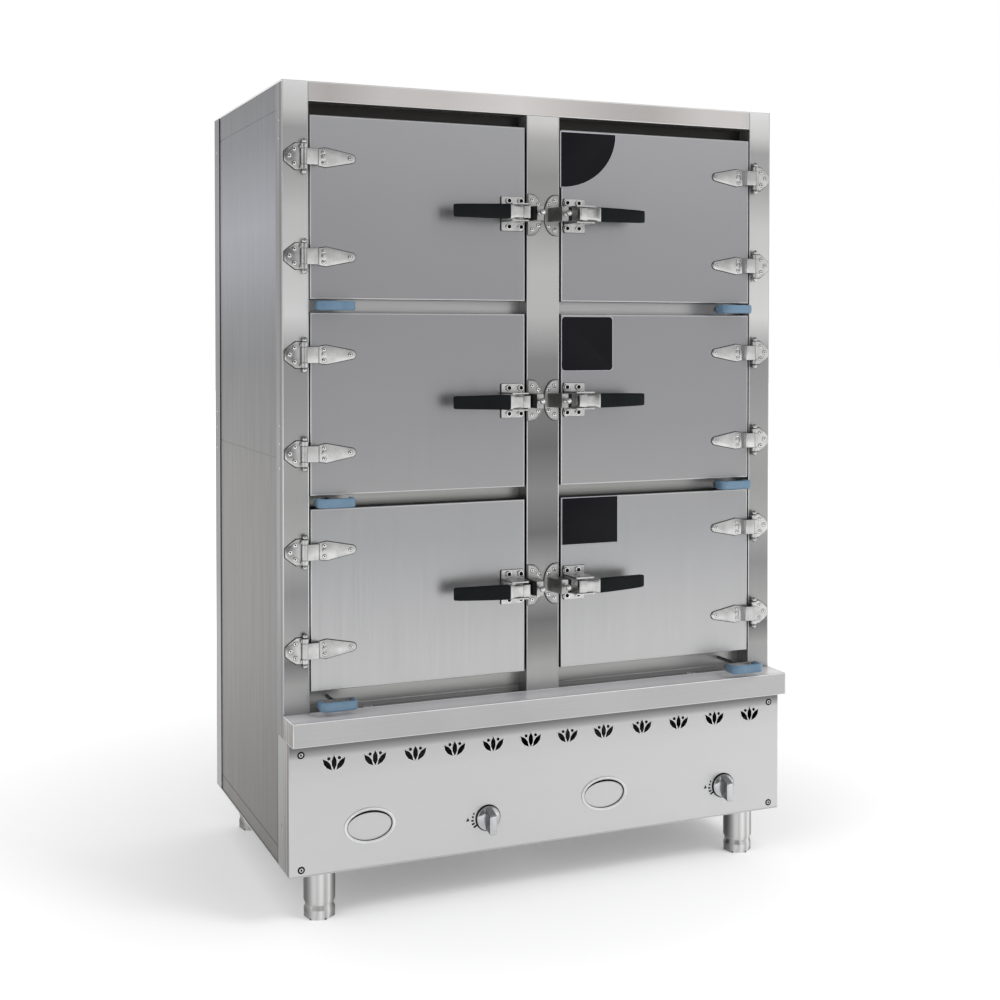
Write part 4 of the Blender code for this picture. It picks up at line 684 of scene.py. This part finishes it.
# Latch levers: a cast neck and nose, and a dipped grip that tapers towards its end
def latch_lever(side, sign, row, middle):
    def spot(dx, dy):
        return sign * (pivot_x - dx), pivot_y + dy

    shape = bmesh.new()
    neck = [
        (-34.5, -15.6, 7.4, 16.2), (-30.5, -15.8, 8.3, 17.2), (-27.5, -15.8, 8.1, 17.0),
        (-25.5, -15.6, 7.3, 15.6), (-21, -14.9, 6.6, 13.9), (-12, -13.2, 7.2, 13.4), (-0.7, -11.4, 8.4, 13.4)]
    path = [(*spot(a, b), middle) for a, b, _, _ in neck]
    sweep(shape, path, [soft_ring(half, tall, 5.0, 28) for _, _, half, tall in neck])
    nose = [(0.6, -2.4), (0.6, -20.2), (16.8, -19.9), (18.9, -17.8), (18.9, -6.5), (16.0, -4.2)]
    prism(shape, [spot(a, b) for a, b in nose], at, middle - 13.6, middle + 13.6, 1.2)
    revolve(shape, [(7.4, -15.9), (8.3, -15.0), (8.3, 15.0), (7.4, 15.9)], at(*spot(0, 0), middle), UP, 28)
    web = [(-3, -3.5), (-3, -18.2), (4, -18.2), (4, -3.5)]
    prism(shape, [spot(a, b) for a, b in web], at, middle - 12.8, middle + 12.8)
    body = piece(f"lever_body_{side}_{row}", shape, casting, f"lever_{side}_{row}")
    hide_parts(f"latch_lever_{side}_{row}")

    stations = [
        (-29.6, -15.3, 7.4, 14.4), (-30.4, -15.3, 9.0, 15.8), (-31.8, -15.1, 9.5, 16.2),
        (-50, -12.6, 9.5, 16.2), (-75, -8.6, 9.4, 15.8), (-100, -4.4, 9.2, 15.3), (-125, 0.2, 8.9, 14.8),
        (-139, 3.2, 8.7, 14.4), (-143, 4.6, 8.5, 14.3), (-149, 7.4, 8.0, 14.0), (-152.4, 9.0, 7.4, 13.6),
        (-153.4, 9.5, 5.6, 11.8)]
    shape = bmesh.new()
    path = [(*spot(a, b), middle) for a, b, _, _ in stations]
    sweep(shape, path, [soft_ring(half, tall, 7.0, 36) for _, _, half, tall in stations])
    piece(f"lever_grip_{side}_{row}", shape, grip_black, f"lever_{side}_{row}", 24)


# Pull loops: a bent steel bar on its rod, under a soft sleeve round the front bar and both arms
def pull_loop(side, row):
    low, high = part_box(f"steam_valve_pull_{side}_{row}")
    centre = (low.x + high.x) / 2 / MM
    height = ((low.z + high.z) / 2 - underside) / MM
    front, end = (low.y - front_y) / MM, (high.y - front_y) / MM
    body = f"pull_{side}_{row}"
    left, right, near, far = centre - 37.2, centre + 37.2, front + 4.8, front + 57.3
    run = [(left, front + 42), (left, front + 40.5), (left, front + 24)]
    run += arc(left + 11, near + 11, 11, 180, 90, 7) + [(centre - 12, near), (centre + 12, near)]
    run += arc(right - 11, near + 11, 11, 270, 90, 7)
    run += [(right, front + 24), (right, front + 40.5), (right, front + 42)]
    sections = [soft_ring(4.8, 10.2, 3.2, 28) for _ in run]
    sections[0] = sections[-1] = soft_ring(3.4, 7.6, 2.8, 28)
    sections[1] = sections[-2] = soft_ring(4.5, 9.6, 3.0, 28)
    shape = bmesh.new()
    sweep(shape, [(x, y, height) for x, y in run], sections)
    sleeve = piece(f"pull_sleeve_{side}_{row}", shape, sleeve_blue, body, 60)
    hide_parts(f"steam_valve_pull_{side}_{row}")

    bar = [(right, front + 40)] + arc(right - 7, far - 7, 7, 0, 90, 5)
    bar += arc(left + 7, far - 7, 7, 90, 90, 5) + [(left, front + 40)]
    shape = bmesh.new()
    sweep(shape, [(x, y, height) for x, y in bar], [soft_ring(2.7, 5.0, 3.0, 16) for _ in bar])
    rod_end = end - 90 - far + 4
    nut = [(5.6, 2.4), (6.3, 3.2), (6.3, 5.6), (4.4, 7.0)]
    for start, profile in ((far, [(4.0, 0), (4.0, rod_end)]), (far - 6, nut)):
        revolve(shape, profile, at(centre, start, height), BACK, 20)
    slab(shape, at(centre - 28, end - 90, height - 1.5), at(centre + 28, end, height + 1.5), 0.4)
    piece(f"pull_steel_{side}_{row}", shape, bar_steel, body)


for side, sign, row, middle in DOORS:
    latch_lever(side, sign, row, middle)
    pull_loop(side, row)

# Keepers: a raised rim round each plate, a black buffer that also paints the shade of the deep gap behind the
# nose, and a stud with its thread and round head; painted contact shadows round keepers and brackets
keeper_rims, shade_buffers, stems, heads = [], [], [], []
keeper_shadow_outlines = bmesh.new()


def half_round(extra, edge):
    """A keeper's outline so many millimetres outside its plate, with its straight side at an edge."""
    bow = ellipse(10, 0, 25.5 + extra, 45 + extra, range(-90, 91, 10))
    return [(edge, -45 - extra), *bow, (edge, 45 + extra)]


for side, sign, row, middle in DOORS:
    keeper_rims.append([at(sign * (keeper_edge - a), -3.2, middle + b) for a, b in half_round(0.1, 1.4)])
    # Painted contact shadow round the keeper
    line = [(sign * (keeper_edge - a), middle + b) for a, b in half_round(2.6, -0.4)]
    prism(keeper_shadow_outlines, line, upright, -0.28, -0.04)
    # Painted contact shadow round the bracket
    low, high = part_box(f"latch_bracket_{side}_{row}")
    x_low, x_high = low.x / MM - 0.2, high.x / MM + 0.2
    shape = bmesh.new()
    prism(shape, rounded(x_low, x_high, middle - 37.3, middle + 37.3, 2.0, 3), upright, -0.3, -0.05)
    piece(f"bracket_fit_line_{side}_{row}", shape, contact_shadow_dark, f"door_{side}_{row}")
    shade_buffers.append((at(sign * 43.4, -32.0, middle), UP, 1.0))
    stems.append(facing_front(sign * 32.0, -57.8, middle, 1.0))
    heads.append(facing_front(sign * 32.0, -75.5, middle + 1.5, 1.0))
beads("keeper_rims", keeper_rims, keeper_casting, 1.2)
piece("keeper_fit_lines", keeper_shadow_outlines, contact_shadow_dark)
pad = bmesh.new()
slab(pad, Vector((-4.6, -24.5, -15.2)) * MM, Vector((4.6, 24.5, 15.2)) * MM, 1.6)
spread("keeper_buffers", item_object("keeper_buffer", pad), shade_buffers, "cabinet", rubber)
turns = [(r, step * 1.7 + dz) for step in range(9)
         for r, dz in ((4.0, 0.0), (4.0, 0.4), (3.2, 0.9), (3.2, 1.3))]
spread("keeper_stud_threads", turned_item("stud_thread", turns, 14), stems, "cabinet", bright)
domed = [(2.6, -6.2), (5.2, -5.6), (6.3, -3.6), (6.6, -0.4), (5.8, 2.4), (4.0, 4.4), (1.2, 5.4)]
spread("keeper_stud_heads", turned_item("stud_head", domed, 20), heads, "cabinet", bright)


# Lower panel: rims round the perforations and windows, pale for a painted highlight, painted shadows in the
# windows, and taps with their scales
def petal(cx, cz, lean):
    """One pointed oval of the perforations, leaning by so many degrees."""
    length, wide, points = 34.4, 13.7, 8
    s, c = math.sin(math.radians(lean)), math.cos(math.radians(lean))
    edge = [(length * (i / points - 0.5), wide / 2 * math.sin(math.pi * i / points))
            for i in range(points + 1)]
    return [at(cx + s * a + c * b, panel_face - 0.2, cz + c * a - s * b)
            for a, b in edge + [(a, -b) for a, b in edge[-2:0:-1]]]


motif_x, motif_z = -505, 222
motif = [petal(motif_x, motif_z + 16.5, 0)]
for sign in (-1, 1):
    motif.append(petal(motif_x + sign * 15, motif_z + 13.25, sign * 38))
    hole = arc(motif_x + sign * 11.5, motif_z + 26, 4.6, 0, 360, 14)[:-1]
    motif.append([at(x, panel_face - 0.1, z) for x, z in hole])
beads("perforation_rims_left", motif, rim_highlight, 0.7, count=8, pitch=91.2)
motif_shift = Vector((232.5 - motif_x, 0, 0)) * MM
beads("perforation_rims_right", [[place + motif_shift for place in loop] for loop in motif], rim_highlight, 0.7,
      count=4, pitch=97.0)

for name, grow, drop, y, finish, radius in (
        ("window_outer_rims", 3.7, 0.0, panel_face - 1.2, rim_highlight, 2.3),
        ("window_inner_rims", 0.6, 0.0, panel_face - 1.2, rim_highlight, 1.0),
        ("window_shadow_gaps", -1.0, 0.8, panel_face + 0.6, seam_dark, 1.3)):
    oval = ellipse(window_x, window_z - drop, window_half_wide + grow, window_half_high + grow,
                   range(0, 360, 6))
    beads(name, [[at(x, y, z) for x, z in oval]], finish, radius, count=2, pitch=window_pitch)
crescents = bmesh.new()
for centre in (window_x, window_x + window_pitch):
    outer, inner = (
        ellipse(centre, window_z, window_half_wide - side_in, window_half_high - drop, range(6, 175, 6))
        for side_in, drop in ((0.1, 0.1), (1.9, 5.7)))
    prism(crescents, outer + inner[::-1], upright, panel_face - 0.9, panel_face + 1.1)
piece("window_top_shadows", crescents, shade_black)


def gas_tap(side):
    """A chromed tap: a skirt with a painted shadow ring behind it, a low cone, and a deep fin that leans
    down, its flanks a darker copy of the chrome for painted shade.
    """
    knob = f"gas_knob_{side}"
    low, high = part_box(knob)
    middle = (low.x + high.x) / 2 / MM
    centre = at(middle, panel_face, tap_z)
    shape = bmesh.new()
    skirt = [(26.4, 0.8), (27.2, 1.6), (27.4, 2.6), (27.4, 5.2), (26.6, 6.6), (24.6, 7.8), (19.0, 10.0),
             (12.0, 11.2)]
    revolve(shape, skirt, centre, FRONT, 48)
    fin = [
        (7.5, 9.4, -24.2, 25.2), (11.0, 9.4, -25.0, 24.0), (34.0, 9.2, -29.8, 16.0), (36.4, 8.6, -29.8, 14.6),
        (37.6, 7.2, -28.6, 13.4), (38.0, 5.4, -27.2, 12.2)]
    rings = []
    for out, half_wide, low_z, top_z in fin:
        ring = soft_ring(half_wide, (top_z - low_z) / 2, 6.0, 36)
        rings.append([centre + Vector((a, -out, (top_z + low_z) / 2 + b)) * MM for a, b in ring])
    loft(shape, rings)
    tap = piece(f"tap_{side}", shape, chrome, knob, 30)
    # Painted shade: the fin's side faces take the darker copy of the chrome
    tap.data.materials.append(chrome_shaded_flank)
    for face in tap.data.polygons:
        if abs(face.normal.x) > 0.8 and face.center.y < centre.y - 8 * MM:
            face.material_index = 1
    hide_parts(knob)
    painted_shadow_ring = bmesh.new()
    revolve(painted_shadow_ring, [(27.0, 0.3), (29.6, 0.4), (29.6, 1.6), (28.2, 2.6)], centre, FRONT, 48)
    piece(f"tap_shadow_ring_{side}", painted_shadow_ring, shade_black, knob)
    marks = [[Vector(corner) for corner in ((-52.2, -3.2), (-43.8, -1.8), (-47.6, 6.0))]]
    strokes = [(-33.4, 12.8, 3.6), (-35.7, 5.6, 4.6), (-36.7, -2.3, 5.8), (-34.7, -9.8, 7.2),
               (-30.1, -15.8, 8.8)]
    for a, b, length in strokes:
        mid = Vector((a, b))
        along = mid.normalized()
        across = Vector((-along.y, along.x))
        marks.append([mid + along * (length / 2 * i) + across * (2.1 * j)
                      for i, j in ((-1, -1), (1, -1), (1, 1), (-1, 1))])
    scale = bmesh.new()
    for mark in marks:
        outline = [(middle + corner.x, tap_z + corner.y) for corner in mark]
        prism(scale, outline, upright, panel_face - 0.25, panel_face - 0.05)
    piece(f"tap_scale_{side}", scale, mark_ink)


for side, _ in SIDES:
    gas_tap(side)


# Sheet work: rolled folds, pale for a painted highlight, joint lines, the tray's rolled lip and its drain
# rims, pale for a painted highlight, with painted shade in the holes
def fold_lines(name, runs, radius, finish):
    """Round folds. A run that ends left of the middle is drawn on the right too."""
    shape = bmesh.new()
    half = radius / 2
    for start, end in runs:
        for flip in (1, -1) if end[0] < 0 else (1,):
            near, far = at(flip * start[0], *start[1:]), at(flip * end[0], *end[1:])
            length = (far - near).length / MM
            profile = [(half, 0), (radius, half), (radius, length - half), (half, length)]
            revolve(shape, profile, near, far - near, 12)
    piece(name, shape, finish, crease=50)


fold_lines("front_folds", [
    ((-601.7, 1.3, 340), (-601.7, 1.3, 1699)), ((-547.3, 1.3, 332), (-547.3, 1.3, 1656)),
    ((-38.7, 1.3, 332), (-38.7, 1.3, 1656)), ((-601.7, 2, 1698.7), (-601.7, 724, 1698.7)),
    ((-601, 1.3, 1698.7), (601, 1.3, 1698.7)), ((-545, 1.3, 1658.8), (545, 1.3, 1658.8))], 1.5, fold_highlight_steel)
fold_lines("tray_folds", [
    ((-602.3, -82.9, 337.3), (-602.3, -1.5, 337.3)), ((-601.9, -82.5, 288), (-601.9, -82.5, 337)),
    ((-545.0, 48.9, 340.6), (-41.0, 48.9, 340.6)), ((-602.4, -82.9, 337.3), (602.4, -82.9, 337.3)),
    ((-545.0, -1.0, 337.4), (545.0, -1.0, 337.4)), ((-602, -82.4, 288), (602, -82.4, 288))], 1.3, rim_highlight)
fold_lines("panel_folds", [
    ((-601.8, -46.5, 4), (-601.8, -46.5, 286)), ((-601.8, -46.5, 4.2), (601.8, -46.5, 4.2))], 1.3, fold_highlight_steel)
seams = bmesh.new()
for x in (-546, 546):
    slab(seams, at(x - 0.5, -0.2, 1658), at(x + 0.5, 0.3, 1697))
slab(seams, at(-40, -0.2, 1656.8), at(40, 0.3, 1657.8))
for x in (-half_body, half_body):
    for y in (57, 669):
        slab(seams, at(x - 0.15, y - 0.4, 4), at(x + 0.15, y + 0.4, 1697))
piece("sheet_joints", seams, seam_dark)
for side, sign in SIDES:
    shape = bmesh.new()
    x_low, x_high = sorted((sign * 602.9, sign * 603.4))
    for near, far, foot, head in (
            (-47.3, -0.8, 4, 286.4), (-83.1, -0.8, 288.4, 336.6), (1.6, 56.0, 288, 1696.5)):
        slab(shape, at(x_low, near, foot), at(x_high, far, head), 0.15)
    piece(f"base_return_{side}", shape, return_sheet)
washer = turned_item("drain_washer", [
    (10.8, 0.0), (10.4, 1.0), (9.6, 1.4), (7.0, 1.0), (6.3, -0.2), (5.6, -0.6)], 28, dark=(3, 4))
drains = [(at(x, drain_y, channel_floor + 0.1), UP, 1.0) for x in (-drain_x, drain_x)]
spread("drain_washers", washer, drains, "cabinet", rim_highlight, shade_black)


# Right-hand doors: plain dark plates with a pale border
def bare_plate(name, outline, row):
    shape = bmesh.new()
    prism(shape, outline, upright, -0.9, -0.05, 0.2)
    piece(name, shape, plate_ink, f"door_right_{row}")
    middle = sum((Vector(p) for p in outline), Vector((0, 0))) / len(outline)
    shape = bmesh.new()
    loops = []
    for y, share in ((-0.95, 1.0), (-1.25, 0.995), (-1.25, 0.975), (-0.95, 0.97)):
        loops.append([shape.verts.new(upright(*(middle + (Vector(p) - middle) * share), y)) for p in outline])
    skin(shape, loops)
    piece(name + "_border", shape, plate_rim, f"door_right_{row}")


bare_plate("corner_plate", [(42, 1626), *ellipse(42, 1626, 143, -130, range(0, 91, 6))], 1)
bare_plate("middle_plate", rounded(53, 170, 1080, 1192, 8, 6), 2)
bare_plate("lower_plate", [(46, 668), (192, 668), (192, 779), (46, 779)], 3)

# Legs: finely turned tubes over the solids, and a rubber sole under each foot
leg_tube = turned_item("leg_tube", [
    (33.6, -0.4), (34.3, -1.0), (34.3, -68.2), (34.1, -68.9), (30.8, -77.9)], 48)
leg_spots = [(at(sign * leg_x, y, 0), UP, 1.0) for sign in (-1, 1) for y in leg_y]
spread("leg_tubes", leg_tube, leg_spots, "cabinet", leg_sheet)
for name in ("front_left", "front_right", "back_left", "back_right"):
    low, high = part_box(f"foot_{name}")
    centre = Vector(((low.x + high.x) / 2, (low.y + high.y) / 2, low.z))
    shape = bmesh.new()
    loft(shape, [
        [centre + Vector((x, y, rise)) * MM for x, y in ellipse(0, 0, radius, radius, range(-20, 340, 60))]
        for radius, rise in ((28.0, 0.05), (31.8, 0.05), (32.7, 0.5), (34.0, 3.9), (33.6, 4.3), (29.0, 4.3))])
    piece(f"sole_{name}", shape, rubber, f"foot_{name}")

for helper in helpers:
    bpy.data.objects.remove(helper, do_unlink=True)


# Studio: a white room with a dimmer ceiling and one dark card, two soft lamps and a pale floor
def studio():
    shape = bmesh.new()
    bmesh.ops.create_grid(shape, x_segments=1, y_segments=1, size=30)
    floor = finish_mesh("floor", shape)
    made, tree, shader, here = finish_named("pale_studio_floor")
    tree.nodes.remove(shader)
    path = add(tree, "ShaderNodeLightPath").outputs
    away = add(tree, "ShaderNodeVectorMath", {0: here}, operation="LENGTH").outputs["Value"]
    share = add(tree, "ShaderNodeMapRange",
        {"Value": away, "From Min": 0.7, "From Max": 3.0}).outputs["Result"]
    matte = add(tree, "ShaderNodeBsdfDiffuse", {"Color": linear("#f2f2f2")}).outputs[0]
    strength = add(tree, "ShaderNodeValToRGB", {"Fac": share}, [(0.0, 0.24), (1.0, 0.65)]).outputs["Color"]
    glow = add(tree, "ShaderNodeEmission", {"Color": linear("#ffffff"), "Strength": strength}).outputs[0]
    lit = add(tree, "ShaderNodeAddShader", {0: matte, 1: glow}).outputs[0]
    shown = path["Is Camera Ray"]
    for other in ("Is Glossy Ray", "Is Transmission Ray"):
        shown = add(tree, "ShaderNodeMath", {0: shown, 1: path[other]}, operation="MAXIMUM").outputs[0]
    both = add(tree, "ShaderNodeMixShader", {"Fac": shown, 1: matte, 2: lit})
    tree.links.new(both.outputs[0], tree.nodes["Material Output"].inputs["Surface"])
    floor.data.materials.append(made)

    world = bpy.data.worlds.new("studio")
    bpy.context.scene.world = world
    world.use_nodes = True
    tree = world.node_tree
    path = add(tree, "ShaderNodeLightPath").outputs
    seen = add(tree, "ShaderNodeMath", {0: path["Is Camera Ray"], 1: path["Is Transmission Ray"]},
               operation="MAXIMUM").outputs[0]
    direction = add(tree, "ShaderNodeTexCoord").outputs["Generated"]
    height = add(tree, "ShaderNodeSeparateXYZ", {"Vector": direction}).outputs["Z"]
    ceiling = add(tree, "ShaderNodeValToRGB", {"Fac": height}, [(0.25, "#ffffff"), (0.7, "#9a9b9d")])
    toward = add(tree, "ShaderNodeVectorMath", {0: direction, 1: (-0.37, -0.93, 0.05)},
                 operation="DOT_PRODUCT").outputs["Value"]
    card = add(tree, "ShaderNodeValToRGB", {"Fac": toward}, [(0.82, "#ffffff"), (0.93, "#6e6f71")])
    color = add(tree, "ShaderNodeMix", {
        "Factor": 1.0, "A": ceiling.outputs["Color"], "B": card.outputs["Color"]},
        data_type="RGBA", blend_type="MULTIPLY").outputs["Result"]
    for factor, other in ((path["Is Diffuse Ray"], "#d6d6d7"), (seen, "#ffffff")):
        color = add(tree, "ShaderNodeMix", {"Factor": factor, "A": color, "B": linear(other)},
                    data_type="RGBA").outputs["Result"]
    tree.links.new(color, tree.nodes["Background"].inputs["Color"])

    lamps = (("key", (2.0, -3.2, 3.9), 1.6, 72), ("fill", (-3.6, -1.6, 2.6), 2.4, 24))
    for name, place, size, power in lamps:
        light = bpy.data.lights.new(name, "AREA")
        light.energy = power
        light.size = size
        lamp = put_in(name, light)
        lamp.visible_glossy = False
        lamp.location = place
        lamp.rotation_euler = (Vector((0, 0, 0.9)) - Vector(place)).to_track_quat("-Z", "Y").to_euler()


studio()

# The photograph's viewpoint
camera = bpy.data.cameras.new("camera")
camera.sensor_width = 36
camera.lens = 55.95
camera.shift_x = -0.1
camera.shift_y = -0.1331
view = put_in("camera", camera)
view.location = at(-1385.2, -3294.2, 1162.9)
view.rotation_euler = [math.radians(a) for a in (88.7182, -0.0943, -24.9086)]
bpy.context.scene.camera = view
bpy.context.scene.view_settings.view_transform = "Standard"
